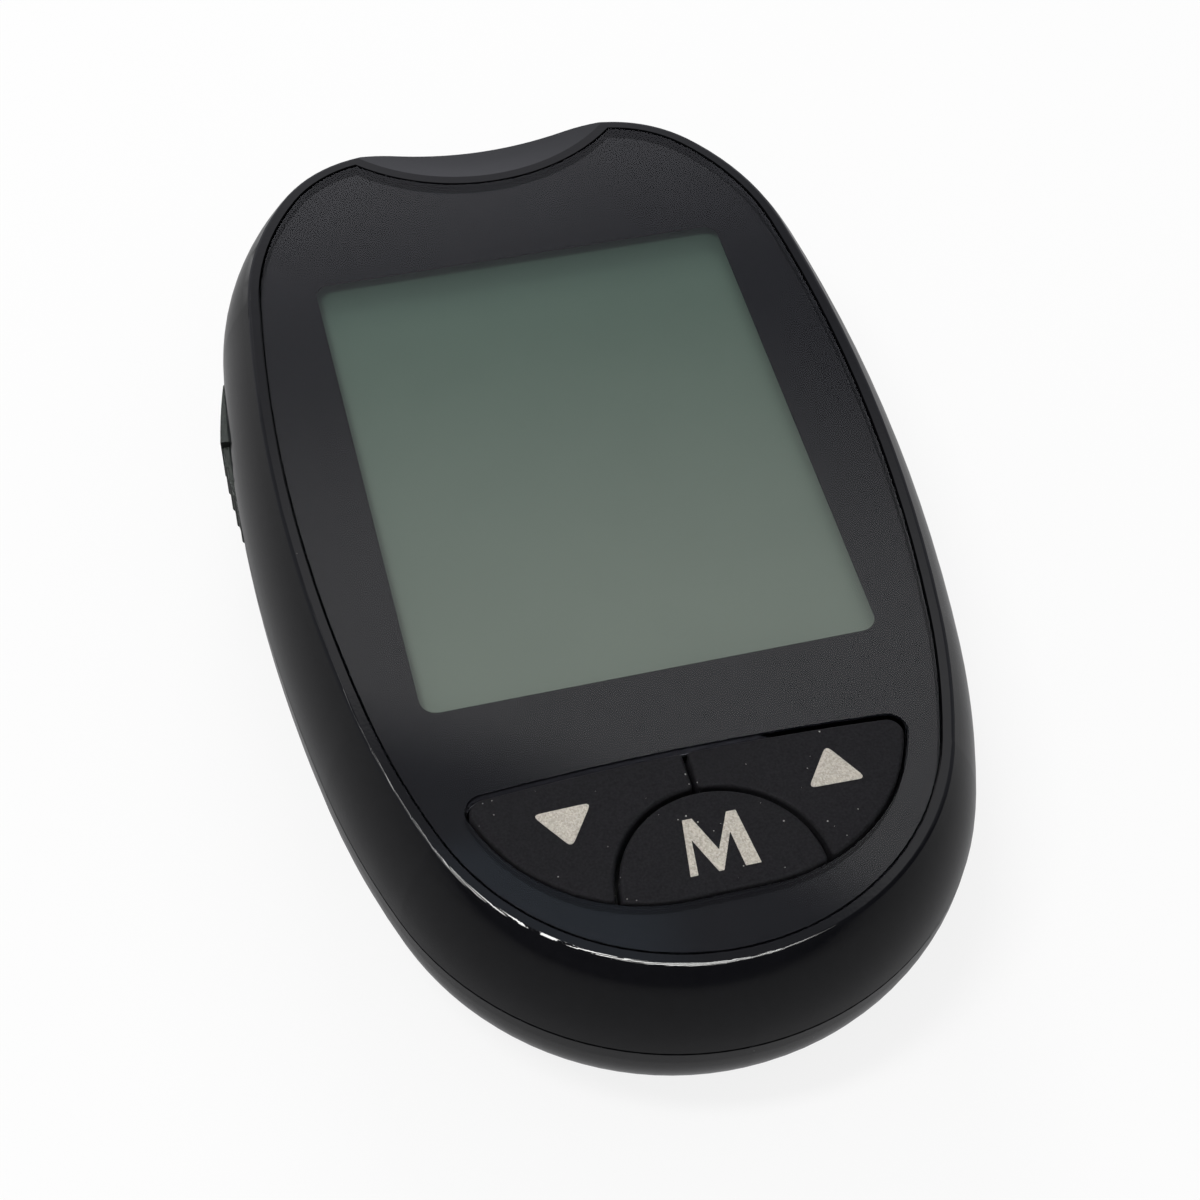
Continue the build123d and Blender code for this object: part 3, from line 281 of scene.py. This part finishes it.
def plastic(name, colour, roughness, fineness=4000.0, depth=2e-6, smudge=0.06, dust=0.0,
            specular=0.5, shift=0.12, share=0.13, polish=None):
    """Moulded plastic: fine grain in height and tone, smudges in the gloss, and a little dust.

    The grain shifts the colour both ways by the part shift of it. Smudge is the roughness that
    smudges add, dust the strength of the specks, and share the part of the cells that hold one.
    Over RIM_BLEND below the height polish the roughness falls to RIM_GLOSS of its own, and it
    stays there above.
    """
    material, tree, shader, place = start_material(name)
    grain = place_group(tree, GRAIN, place, fineness=fineness)
    touched = place_group(tree, HANDLING, place, share=share)
    darker = tuple(c * (1 - shift) for c in colour)
    lighter = tuple(min(1.0, c * (1 + shift)) for c in colour)
    tone = blend_colour(tree, grain["Tone"], darker, lighter)
    gloss = maths(tree, "MULTIPLY_ADD", touched["Smudge"], smudge, roughness)
    if dust:
        tone = blend_colour(tree, times(tree, touched["Dust"], dust), tone, DUST_COLOUR)
        gloss = maths(tree, "MULTIPLY_ADD", touched["Dust"], DUST_ROUGHNESS, gloss)
    if polish:
        height = split(tree, place)["Z"]
        kept = spread(tree, height, polish - RIM_BLEND, polish, 1.0, RIM_GLOSS, smooth=True)
        gloss = times(tree, gloss, kept)
    join(tree, tone, shader.inputs["Base Color"])
    join(tree, gloss, shader.inputs["Roughness"])
    add_bump(tree, shader, grain["Height"], depth)
    settle(shader, specular_ior_level=specular)
    return material


def metal(name, colour, roughness, streaks=(1.0, 1.0, 1.0)):
    """Drawn or plated metal: grain stretched along the streaks, with brighter and duller lines."""
    material, tree, shader, place = start_material(name)
    turn = add(tree, "ShaderNodeMapping")
    turn.inputs["Scale"].default_value = streaks
    join(tree, place, turn.inputs["Vector"])
    grain = place_group(tree, GRAIN, turn.outputs[0], fineness=METAL_FINENESS)
    tone = blend_colour(tree, grain["Tone"], tuple(c * 0.82 for c in colour), colour)
    gloss = maths(tree, "MULTIPLY_ADD", grain["Tone"], 0.15, roughness)
    join(tree, tone, shader.inputs["Base Color"])
    join(tree, gloss, shader.inputs["Roughness"])
    add_bump(tree, shader, grain["Height"], METAL_DEPTH)
    settle(shader, metallic=1.0)
    return material


def clear(name, colour, ior, wall=None):
    """Clear plastic or glass that lets the lamps' light through to what lies below it.

    Smudges dull its colour a little. A wall, given as its lowest and highest height, is inked
    black. The roughness stays unlinked, since this surface is mirror-sharp.
    """
    material, tree, shader, place = start_material(name)
    touched = place_group(tree, HANDLING, place)
    dulled = tuple(c * SMUDGE_DULLING for c in colour)
    tone = blend_colour(tree, touched["Smudge"], colour, dulled)
    if wall:
        height = split(tree, place)["Z"]
        above = maths(tree, "GREATER_THAN", height, wall[0])
        below = maths(tree, "LESS_THAN", height, wall[1])
        tone = blend_colour(tree, times(tree, above, below), tone, WALL_INK)
    join(tree, tone, shader.inputs["Base Color"])
    settle(shader, transmission_weight=1.0, roughness=0.0, ior=ior)
    ray = add(tree, "ShaderNodeLightPath").outputs
    passing = maths(tree, "MAXIMUM", ray["Is Shadow Ray"], ray["Is Diffuse Ray"])
    through = add(tree, "ShaderNodeBsdfTransparent").outputs[0]
    show(tree, blend_shaders(tree, passing, shader.outputs[0], through))
    return material


def panel_print():
    """Black ink behind the panel: no gloss of its own, with a faint mottle and dust above it."""
    material, tree, shader, place = start_material("panel_print")
    touched = place_group(tree, HANDLING, place, smudges=90.0, speck=0.06, share=0.03)
    ink, worn, speck = (0.0032, 0.0034, 0.0042), (0.0044, 0.0046, 0.0056), (0.30, 0.30, 0.30)
    tone = blend_colour(tree, touched["Smudge"], ink, worn)
    tone = blend_colour(tree, times(tree, touched["Dust"], 0.35), tone, speck)
    join(tree, tone, shader.inputs["Base Color"])
    settle(shader, roughness=0.9, specular_ior_level=0.0)
    return material


def display_face():
    """Blank liquid crystal display: a grey-green satin film, with painted shade towards its top
    edge.
    """
    material, tree, shader, place = start_material("display_face")
    grain = place_group(tree, GRAIN, place, fineness=7000.0)
    touched = place_group(tree, HANDLING, place, smudges=60.0, speck=0.05, share=0.02)
    low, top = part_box("lcd_polariser")[0].y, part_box("lcd_polariser")[1].y
    along = split(tree, place)["Y"]
    # Painted shade: the colour darkens from the film's lower edge to the darker upper colour at
    # its top.
    rise = spread(tree, along, low, top, 0.0, 1.0)
    # Painted shadow: a band that darkens the film over its top 7 mm, as if cast by the window's
    # edge.
    painted_shadow = spread(tree, along, top - 7.0 * MM, top - 0.5 * MM, 0.0, 0.45, smooth=True)
    lower, upper, painted_shadow_colour = (0.128, 0.159, 0.128), (0.058, 0.097, 0.074), (0.020, 0.040, 0.030)
    pale, smudged, speck = (0.30, 0.34, 0.30), (0.03, 0.05, 0.04), (0.02, 0.02, 0.02)
    tone = blend_colour(tree, rise, lower, upper)
    tone = blend_colour(tree, times(tree, grain["Tone"], 0.06), tone, pale)
    tone = blend_colour(tree, times(tree, touched["Smudge"], 0.05), tone, smudged)
    tone = blend_colour(tree, painted_shadow, tone, painted_shadow_colour)
    tone = blend_colour(tree, times(tree, touched["Dust"], 0.8), tone, speck)
    join(tree, tone, shader.inputs["Base Color"])
    add_bump(tree, shader, grain["Height"], 1e-6)
    settle(shader, roughness=0.42, specular_ior_level=0.12)
    return material


def silver_ink():
    """Silver ink of the key marks: bright and dull flakes under a thin satin film."""
    material, tree, shader, place = start_material("silver_ink")
    flakes = place_group(tree, FLAKES, place, fineness=8500.0)
    dull, bright = (0.315, 0.292, 0.255), (0.50, 0.465, 0.41)
    tone = blend_colour(tree, flakes["Flake"], dull, bright)
    gloss = spread(tree, flakes["Flake"], 0.0, 1.0, 0.60, 0.40)
    join(tree, tone, shader.inputs["Base Color"])
    join(tree, gloss, shader.inputs["Roughness"])
    add_bump(tree, shader, flakes["Height"], 6e-6)
    settle(shader, metallic=0.1, specular_ior_level=0.25)
    return material


def circuit_board():
    """Green solder resist with copper tracks, as bands of a brick pattern, and tinned pads."""
    material, tree, shader, place = start_material("circuit_board")
    grain = place_group(tree, GRAIN, place, fineness=3000.0)
    tracks = add(tree, "ShaderNodeTexBrick", offset=0.37)
    sizes = {"Scale": 160.0, "Mortar Size": 0.035, "Brick Width": 1.7, "Row Height": 0.21}
    for label, value in sizes.items():
        tracks.inputs[label].default_value = value
    join(tree, place, tracks.inputs["Vector"])
    pads = add(tree, "ShaderNodeTexVoronoi", feature="F1", Scale=330.0)
    join(tree, place, pads.inputs["Vector"])
    pad = maths(tree, "LESS_THAN", pads.outputs["Distance"], 0.13)
    track, tin = (0.030, 0.165, 0.070), (0.62, 0.60, 0.56)
    tone = blend_colour(tree, grain["Tone"], (0.010, 0.072, 0.030), (0.014, 0.090, 0.040))
    tone = blend_colour(tree, times(tree, tracks.outputs["Fac"], 0.75), tone, track)
    tone = blend_colour(tree, pad, tone, tin)
    join(tree, tone, shader.inputs["Base Color"])
    join(tree, times(tree, pad, 0.9), shader.inputs["Metallic"])
    add_bump(tree, shader, tracks.outputs["Fac"], 2.5e-5)
    settle(shader, roughness=0.32)
    return material


def striped_rubber():
    """Rubber strip of thin conducting and clear layers: one of each in a tenth of a millimetre."""
    material, tree, shader, place = start_material("striped_rubber")
    bands = add(tree, "ShaderNodeTexWave", wave_type="BANDS", bands_direction="X", Scale=3000.0)
    join(tree, place, bands.inputs["Vector"])
    line = maths(tree, "GREATER_THAN", bands.outputs["Fac"], 0.5)
    tone = blend_colour(tree, line, (0.03, 0.03, 0.03), (0.52, 0.50, 0.46))
    join(tree, tone, shader.inputs["Base Color"])
    settle(shader, roughness=0.6)
    return material


def cell_jacket(name, middle, nub_up):
    """Plain cell: a satin metallic jacket with a dark band towards the nub and bare ends.

    The band starts CELL_BAND from the middle towards the nub, and the ends are bare past
    CELL_BARE both ways.
    """
    material, tree, shader, place = start_material(name)
    grain = place_group(tree, GRAIN, place, fineness=2500.0)
    along = maths(tree, "SUBTRACT", split(tree, place)["Y"], middle)
    along = times(tree, along, 1.0 if nub_up else -1.0)
    band = maths(tree, "GREATER_THAN", along, CELL_BAND)
    bare = maths(tree, "GREATER_THAN", maths(tree, "ABSOLUTE", along), CELL_BARE)
    tone = blend_colour(tree, grain["Tone"], (0.40, 0.42, 0.45), (0.47, 0.49, 0.52))
    tone = blend_colour(tree, band, tone, (0.035, 0.055, 0.10))
    tone = blend_colour(tree, bare, tone, (0.62, 0.61, 0.58))
    join(tree, tone, shader.inputs["Base Color"])
    join(tree, maths(tree, "MULTIPLY_ADD", bare, 0.45, 0.5), shader.inputs["Metallic"])
    gloss = spread(tree, grain["Tone"], 0.0, 1.0, 0.26, 0.34)
    join(tree, gloss, shader.inputs["Roughness"])
    add_bump(tree, shader, grain["Height"], 1e-6)
    return material


GLOSSY = {"fineness": 900.0, "depth": 3e-6}
finishes = {
    "front_case": plastic("case_gloss", BLACK, 0.10, **GLOSSY, smudge=0.05, dust=0.4,
                          specular=0.3, share=0.02, polish=RIM_FROM),
    "rear_case": plastic("back_gloss", BLACK, 0.14, **GLOSSY, dust=0.3, specular=0.3, share=0.02),
    "battery_cover": plastic("cover_gloss", BLACK, 0.15, **GLOSSY, dust=0.3, specular=0.3,
                             share=0.02),
    "display_lens": clear("clear_panel", (0.97, 0.97, 0.98), 1.3, LENS_WALL),
    "lens_print": panel_print(),
    "lens_tape": plastic("foam_tape", (0.006, 0.006, 0.006), 0.85, fineness=2500.0, depth=2e-5,
                         specular=0.2),
    "lcd_polariser": display_face(),
    "lcd_front_glass": clear("display_glass", (0.93, 0.96, 0.94), 1.5),
    "lcd_reflector": metal("reflector_foil", (0.45, 0.48, 0.45), 0.35),
    "lcd_holder": plastic("holder_white", (0.62, 0.62, 0.58), 0.45, fineness=2500.0, depth=4e-6),
    "elastomer_strip": striped_rubber(),
    "key_down": plastic("key_matt", (0.0118, 0.0116, 0.0130), 0.58, fineness=5200.0, depth=9e-6,
                        smudge=0.05, dust=0.8, specular=0.03, shift=0.3, share=0.55),
    "keypad_mat": plastic("soft_rubber", (0.012, 0.012, 0.012), 0.7, fineness=3000.0,
                          depth=6e-6, specular=0.3),
    "dome_switches": metal("dome_steel", (0.72, 0.71, 0.68), 0.22),
    "main_board": circuit_board(),
    "microcontroller": plastic("chip_body", (0.012, 0.012, 0.012), 0.55, fineness=6000.0,
                               depth=6e-6),
    "radio_module": metal("drawn_can", (0.66, 0.66, 0.64), 0.28, streaks=(1.0, 0.06, 1.0)),
    "buzzer": plastic("sounder_body", (0.014, 0.014, 0.014), 0.42, fineness=2500.0, depth=4e-6),
    "port_light": plastic("lamp_body", (0.78, 0.78, 0.70), 0.4),
    "set_switch": plastic("switch_body", (0.014, 0.014, 0.014), 0.4),
    "set_button": plastic("button_grey", (0.16, 0.16, 0.165), 0.42, fineness=3500.0, depth=5e-6),
    "strip_port": plastic("port_gloss", BLACK, 0.16, **GLOSSY, smudge=0.05, dust=0.3,
                          specular=0.35),
    "strip_connector": plastic("connector_ivory", (0.60, 0.56, 0.44), 0.38, fineness=3000.0,
                               depth=3e-6),
    "connector_contacts": metal("gold_leaf", (0.83, 0.62, 0.24), 0.2, streaks=(1.0, 0.08, 1.0)),
    "ejector_slider": plastic("ejector_matt", (0.015, 0.018, 0.016), 0.46, fineness=4200.0,
                              depth=8e-6, smudge=0.05, dust=0.5, specular=0.35, shift=0.2),
    "ejector_carriage": plastic("carriage_grey", (0.10, 0.105, 0.105), 0.45, fineness=3000.0,
                                depth=5e-6),
    "ejector_spring": metal("spring_wire", (0.60, 0.60, 0.59), 0.25),
    "battery_left": cell_jacket(
        "cell_jacket_up", sum(c.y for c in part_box("battery_left")) / 2, nub_up=True),
    "battery_right": cell_jacket(
        "cell_jacket_down", sum(c.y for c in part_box("battery_right")) / 2, nub_up=False),
    "negative_contact": metal("nickel_strip", (0.74, 0.72, 0.67), 0.2, streaks=(1.0, 1.0, 0.08)),
    "case_screws": metal("zinc_screw", (0.58, 0.58, 0.57), 0.3),
}
finishes["lcd_rear_glass"] = finishes["lcd_front_glass"]
finishes["key_mode"] = finishes["key_up"] = finishes["key_down"]
finishes["crystal"] = finishes["radio_module"]
finishes["positive_contact"] = finishes["bridge_contact"] = finishes["negative_contact"]
for name, piece in nodes.items():
    piece.data.materials.clear()
    piece.data.materials.append(finishes[name])


# ---- Mesh helpers ----
def new_object(name, data):
    """A new object in the scene."""
    made = bpy.data.objects.new(name, data)
    bpy.context.scene.collection.objects.link(made)
    return made


def tube(name, rings):
    """A mesh of quads from each ring of points to the next, with one face at each end."""
    rows, count = rings.shape[:2]
    index = np.arange(rows * count).reshape(rows, count)
    beside = np.roll(index, -1, 1)
    sides = np.stack([index[:-1], beside[:-1], beside[1:], index[1:]], -1).reshape(-1, 4)
    mesh = bpy.data.meshes.new(name)
    ends = [index[-1].tolist(), index[0][::-1].tolist()]
    mesh.from_pydata(rings.reshape(-1, 3).tolist(), [], sides.tolist() + ends)
    return mesh


# ---- Printed marks on the keys, in millimetres ----
INK = silver_ink()
MARK_THICK, MARK_EASE = 0.03, 0.012
CORNER_POINTS = 5
TRIANGLE_CUT, LETTER_CUT = 0.6, 0.05
DOWN_CORNERS = [(-11.94, -27.52), (-9.78, -30.68), (-7.58, -27.43)]
UP_CORNERS = [(7.90, -29.86), (12.21, -29.96), (10.20, -26.66)]
MODE_CORNERS = [
    (-2.35, -34.88), (-1.70, -30.36), (-1.00, -30.36), (0.20, -33.22), (1.55, -30.36),
    (2.25, -30.36), (2.82, -34.88), (1.68, -34.88), (1.38, -31.98), (0.10, -34.88),
    (-0.28, -34.88), (-1.48, -32.02), (-1.79, -34.88),
]


def soft_outline(corners, cut):
    """Outline of a polygon whose corners P are eased.

    Each corner becomes the curve (1-t)^2 A + 2t(1-t) P + t^2 B, where A and B lie on its two
    sides at the distance cut from P.
    """
    points = np.array(corners, float)
    before, after = np.roll(points, 1, 0) - points, np.roll(points, -1, 0) - points
    start = points + before * cut / np.linalg.norm(before, axis=1)[:, None]
    end = points + after * cut / np.linalg.norm(after, axis=1)[:, None]
    t = np.linspace(0, 1, CORNER_POINTS)[None, :, None]
    start, points, end = start[:, None], points[:, None], end[:, None]
    return ((1 - t) ** 2 * start + 2 * t * (1 - t) * points + t**2 * end).reshape(-1, 2)


def printed_mark(name, corners, body, cut):
    """A thin print on a key, with a level face and an eased edge.

    The eased outline stands on the key's top, rises to MARK_EASE below the face, and shrinks
    about its middle by MARK_EASE on the way up to the face, at MARK_THICK.
    """
    line = soft_outline(corners, cut)
    middle = line.mean(0)
    reach = np.abs(line - middle).max()
    profile = np.array([(0.0, 0.0), (MARK_THICK - MARK_EASE, 0.0), (MARK_THICK, MARK_EASE)])
    rise, inset = profile[:, 0][:, None, None], profile[:, 1][:, None, None]
    flat = middle + (line - middle)[None] * (1 - inset / reach)
    height = KEY_TOP / MM + np.broadcast_to(rise, flat.shape[:2] + (1,))
    mesh = tube(name, np.concatenate([flat, height], -1) * MM)
    mesh.materials.append(INK)
    piece = new_object(name, mesh)
    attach(piece, body)


printed_mark("down_mark", DOWN_CORNERS, "key_down", TRIANGLE_CUT)
printed_mark("up_mark", UP_CORNERS, "key_up", TRIANGLE_CUT)
printed_mark("mode_mark", MODE_CORNERS, "key_mode", LETTER_CUT)


# ---- Ejector spring, made again as a coil of wire ----
SPRING_TURNS = 5
SPRING_STEPS, SPRING_SIDES = 28, 10
SPRING_WIRE = 0.17 * MM


def coil_spring():
    """A tube round a helix, in the place of the solid spring, with SPRING_WIRE as its radius.

    With t the angle along the wire, r the coil's radius and h its rise in a radian, the middle
    line is (r sin t, h t, r cos t). Each ring round it is spanned by the outward and the sideways
    direction, square to the line. One face closes each end.
    """
    low, high = (np.array(corner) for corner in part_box("ejector_spring"))
    middle = (low + high) / 2
    radius = (high[0] - low[0]) / 2 - SPRING_WIRE
    t = np.linspace(0, 2 * np.pi * SPRING_TURNS, SPRING_TURNS * SPRING_STEPS + 1)
    rise = (high[1] - low[1] - 2 * SPRING_WIRE) / t[-1]
    flat = np.zeros_like(t)
    line = np.stack([middle[0] + radius * np.sin(t), low[1] + SPRING_WIRE + rise * t,
                     middle[2] + radius * np.cos(t)], -1)
    outward = np.stack([np.sin(t), flat, np.cos(t)], -1)
    ahead = np.stack([radius * np.cos(t), flat + rise, -radius * np.sin(t)], -1)
    ahead /= np.linalg.norm(ahead, axis=1)[:, None]
    sideways = np.cross(ahead, outward)
    angle = np.linspace(0, 2 * np.pi, SPRING_SIDES, endpoint=False)[None, :, None]
    round_wire = np.cos(angle) * outward[:, None] + np.sin(angle) * sideways[:, None]
    mesh = tube("return_spring", line[:, None] + SPRING_WIRE * round_wire)
    smooth = [True] * (len(mesh.polygons) - 2) + [False, False]
    mesh.polygons.foreach_set("use_smooth", smooth)
    mesh.materials.append(finishes["ejector_spring"])
    piece = new_object("return_spring", mesh)
    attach(piece, "case")
    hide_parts("ejector_spring")
    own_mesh(piece)


coil_spring()


# ---- Floor and card ----
FLOOR_HALF, FLOOR_WHITE, FLOOR_OWN = 1.5, 0.93, 0.84
CARD_HALF, CARD_HEIGHT = 1.45, 0.4 * MM
CARD_FADE = (0.06, 0.45)
CARD_NEAR, CARD_FAR = (0.34, 0.34, 0.345), (0.03, 0.03, 0.045)


def square(name, half, height):
    """A level square mesh about the origin, facing up."""
    mesh = bpy.data.meshes.new(name)
    corners = [(x * half, y * half, height) for x, y in ((-1, -1), (1, -1), (1, 1), (-1, 1))]
    mesh.from_pydata(corners, [], [(0, 1, 2, 3)])
    return mesh


def floor_material():
    """White floor, seen through from below.

    Seen directly, in gloss or through glass, FLOOR_OWN of it is its own white; the rest is the
    lit floor, which keeps the soft shadow.
    """
    material, tree, shader, _ = start_material("floor_white")
    white = (FLOOR_WHITE, FLOOR_WHITE, FLOOR_WHITE, 1)
    settle(shader, base_color=white, roughness=0.9, specular_ior_level=0.0)
    glow = add(tree, "ShaderNodeEmission", Strength=1.0)
    glow.inputs["Color"].default_value = (1, 1, 1, 1)
    ray = add(tree, "ShaderNodeLightPath").outputs
    seen = maths(tree, "MAXIMUM", ray["Is Camera Ray"], ray["Is Glossy Ray"])
    seen = maths(tree, "MAXIMUM", seen, ray["Is Transmission Ray"])
    own = times(tree, seen, FLOOR_OWN)
    above = blend_shaders(tree, own, shader.outputs[0], glow.outputs[0])
    from_below = add(tree, "ShaderNodeNewGeometry").outputs["Backfacing"]
    through = add(tree, "ShaderNodeBsdfTransparent").outputs[0]
    show(tree, blend_shaders(tree, from_below, above, through))
    return material


def make_floor():
    """One square of floor, three metres wide, under the back."""
    mesh = square("floor", FLOOR_HALF, 0.0)
    mesh.materials.append(floor_material())
    piece = new_object("floor", mesh)


def make_card():
    """Grey card round the meter, seen in gloss alone, that keeps the dark sides dark.

    It fades from CARD_NEAR to CARD_FAR between the two distances of CARD_FADE.
    """
    mesh = square("grey_card", CARD_HALF, CARD_HEIGHT)
    material, tree, shader, place = start_material("grey_card")
    tree.nodes.remove(shader)
    glow = add(tree, "ShaderNodeEmission", Strength=1.0)
    reach = add(tree, "ShaderNodeVectorMath", operation="LENGTH")
    join(tree, place, reach.inputs[0])
    fade = step_up(tree, reach.outputs["Value"], CARD_FADE)
    join(tree, blend_colour(tree, fade, CARD_NEAR, CARD_FAR), glow.inputs["Color"])
    show(tree, glow.outputs[0])
    mesh.materials.append(material)
    piece = new_object("grey_card", mesh)
    piece.visible_camera = piece.visible_diffuse = False
    piece.visible_transmission = piece.visible_shadow = False


# ---- Surroundings ----
# Each pair of numbers is the two limits of a smooth step, along a part of the direction.
WALL_FOOT, WALL_HEAD, WALL_SLANT = (0.70, 0.81), (0.808, 0.834), 0.155
WALL_COLOUR = (1.12, 1.12, 1.16)
PATCH_FOOT, PATCH_SIDE = (0.857, 0.867), (0.16, 0.20)
PATCH_COLOUR = (0.52, 0.60, 0.72)
IN_FRONT = (0.2, 0.4)
ROOM_TURN = (-0.15, 0.30)
ROOM_BEHIND, ROOM_AHEAD = (0.05, 0.05, 0.07), (0.38, 0.39, 0.44)
FAR_AHEAD, FAR_RISE, FAR_LEAST = (0.66, 0.76), (0.50, 0.65), 0.35
FAR_COLOUR = (0.98, 0.98, 1.05)
SEEN_WHITE, LIGHT_GREY = (1.0, 1.0, 1.0), (0.45, 0.45, 0.45)
ROW_START, ROW_END = np.array((-0.70, 0.37)), np.array((0.12, -0.32))
ROW_COLOUR = (42.0, 42.0, 41.0)
ROW_SPACING, ROW_EDGE, ROW_GAP = 0.09, (0.28, 0.34), (0.25, 0.30)
ROW_RISE, ROW_FALL = (0.05, 0.55), 0.2
FIRST_BOUNCES = 2.5


def make_world():
    """White surroundings for the camera, grey for diffuse light, and a room in gloss.

    With x, y, z the direction, the room turns from dark to dull grey as y grows, and to nearly
    white far ahead. In front of the meter it has one light wall, from WALL_FOOT in z up to a
    slanting edge, where z less WALL_SLANT times x passes WALL_HEAD, and a bluish patch past
    PATCH_FOOT on the side of low x. The row of lamps overhead shows in satin gloss alone: up to
    the second bounce, and never to a mirror-sharp ray.
    """
    world = bpy.data.worlds.new("studio")
    bpy.context.scene.world = world
    world.use_nodes = True
    tree = world.node_tree
    direction = split(tree, add(tree, "ShaderNodeTexCoord").outputs["Generated"])
    x, y, z = direction["X"], direction["Y"], direction["Z"]
    room = blend_colour(tree, step_up(tree, y, ROOM_TURN), ROOM_BEHIND, ROOM_AHEAD)
    raised = spread(tree, z, *FAR_RISE, FAR_LEAST, 1.0, smooth=True)
    far = times(tree, step_up(tree, y, FAR_AHEAD), raised)
    room = blend_colour(tree, far, room, FAR_COLOUR)
    slanted = maths(tree, "SUBTRACT", z, times(tree, x, WALL_SLANT))
    wall = times(tree, step_up(tree, z, WALL_FOOT), step_down(tree, slanted, WALL_HEAD))
    patch = times(tree, step_up(tree, z, PATCH_FOOT), step_down(tree, x, PATCH_SIDE))
    front = step_up(tree, y, IN_FRONT)
    seen = blend_colour(tree, times(tree, wall, front), room, WALL_COLOUR)
    seen = blend_colour(tree, times(tree, patch, front), seen, PATCH_COLOUR)
    ray = add(tree, "ShaderNodeLightPath").outputs
    first = maths(tree, "LESS_THAN", ray["Ray Depth"], FIRST_BOUNCES)
    satin = maths(tree, "SUBTRACT", first, ray["Is Singular Ray"], clamp=True)
    row = times(tree, lamp_row(tree, x, y, z), satin)
    seen = blend_colour(tree, row, seen, ROW_COLOUR)
    lit = blend_colour(tree, ray["Is Camera Ray"], LIGHT_GREY, SEEN_WHITE)
    shown = blend_colour(tree, ray["Is Glossy Ray"], lit, seen)
    join(tree, shown, tree.nodes["Background"].inputs["Color"])


def lamp_row(tree, x, y, z):
    """Share of the row of lamps in a direction: 1 on a lamp, 0 off the row and between lamps.

    Along and across are measured in the plane of x and y from ROW_START, the first towards
    ROW_END. A lamp shines where the distance along to the nearest multiple of ROW_SPACING, as a
    share of the spacing, is past ROW_GAP, and where across is within ROW_EDGE.
    """
    length = float(np.linalg.norm(ROW_END - ROW_START))
    ahead_x, ahead_y = ((ROW_END - ROW_START) / length).tolist()
    from_x = maths(tree, "SUBTRACT", x, float(ROW_START[0]))
    from_y = maths(tree, "SUBTRACT", y, float(ROW_START[1]))
    along = maths(tree, "MULTIPLY_ADD", from_x, ahead_x, times(tree, from_y, ahead_y))
    across = maths(tree, "MULTIPLY_ADD", from_x, -ahead_y, times(tree, from_y, ahead_x))
    band = step_down(tree, maths(tree, "ABSOLUTE", across), ROW_EDGE)
    wave = maths(tree, "PINGPONG", times(tree, along, 1 / ROW_SPACING), 0.5)
    lamps = step_up(tree, wave, ROW_GAP)
    ends = times(tree, step_up(tree, along, ROW_RISE),
                 step_down(tree, along, (length, length + ROW_FALL)))
    upper = maths(tree, "GREATER_THAN", z, 0.0)
    return times(tree, times(tree, band, lamps), times(tree, ends, upper))


def softbox(name, place, aim, size, power):
    """A flat lamp at a place, facing an aim, that lights the meter but isn't seen in gloss."""
    lamp = bpy.data.lights.new(name, "AREA")
    lamp.shape = "RECTANGLE"
    lamp.size, lamp.size_y = size
    lamp.energy = power
    holder = new_object(name, lamp)
    holder.visible_glossy = holder.visible_transmission = False
    away = np.array(place, float) - np.array(aim, float)
    away /= np.linalg.norm(away)
    side = np.cross((0.0, 1.0, 0.0), away)
    side /= np.linalg.norm(side)
    turn = np.stack([side, np.cross(away, side), away], 1).tolist()
    rows = [(*row, shift) for row, shift in zip(turn, place)]
    holder.matrix_world = Matrix(rows + [(0, 0, 0, 1)])


make_floor()
make_world()
make_card()
softbox("lamp_above", place=(-0.30, -0.02, 0.70), aim=(0, 0, 0), size=(0.30, 0.10), power=2.4)
softbox("lamp_back", place=(0.10, 0.75, 0.34), aim=(0, 0, 0.01), size=(0.30, 0.12), power=2.4)


# ---- Camera ----
SENSOR_WIDTH, LENS, CLIP_START = 36.0, 65.823, 0.01
CAMERA_MATRIX = (
    (0.967378, 0.180381, -0.177883, -0.032068),
    (-0.250845, 0.780264, -0.572944, -0.105579),
    (0.035447, 0.598875, 0.800058, 0.150943),
    (0, 0, 0, 1),
)


def make_camera():
    """Camera at its solved place: the matrix's columns are its right, up, backward and place."""
    data = bpy.data.cameras.new("camera")
    data.sensor_width = SENSOR_WIDTH
    data.lens = LENS
    data.clip_start = CLIP_START
    camera = new_object("camera", data)
    camera.matrix_world = Matrix(CAMERA_MATRIX)
    bpy.context.scene.camera = camera


make_camera()
bpy.context.scene.view_settings.view_transform = "Standard"
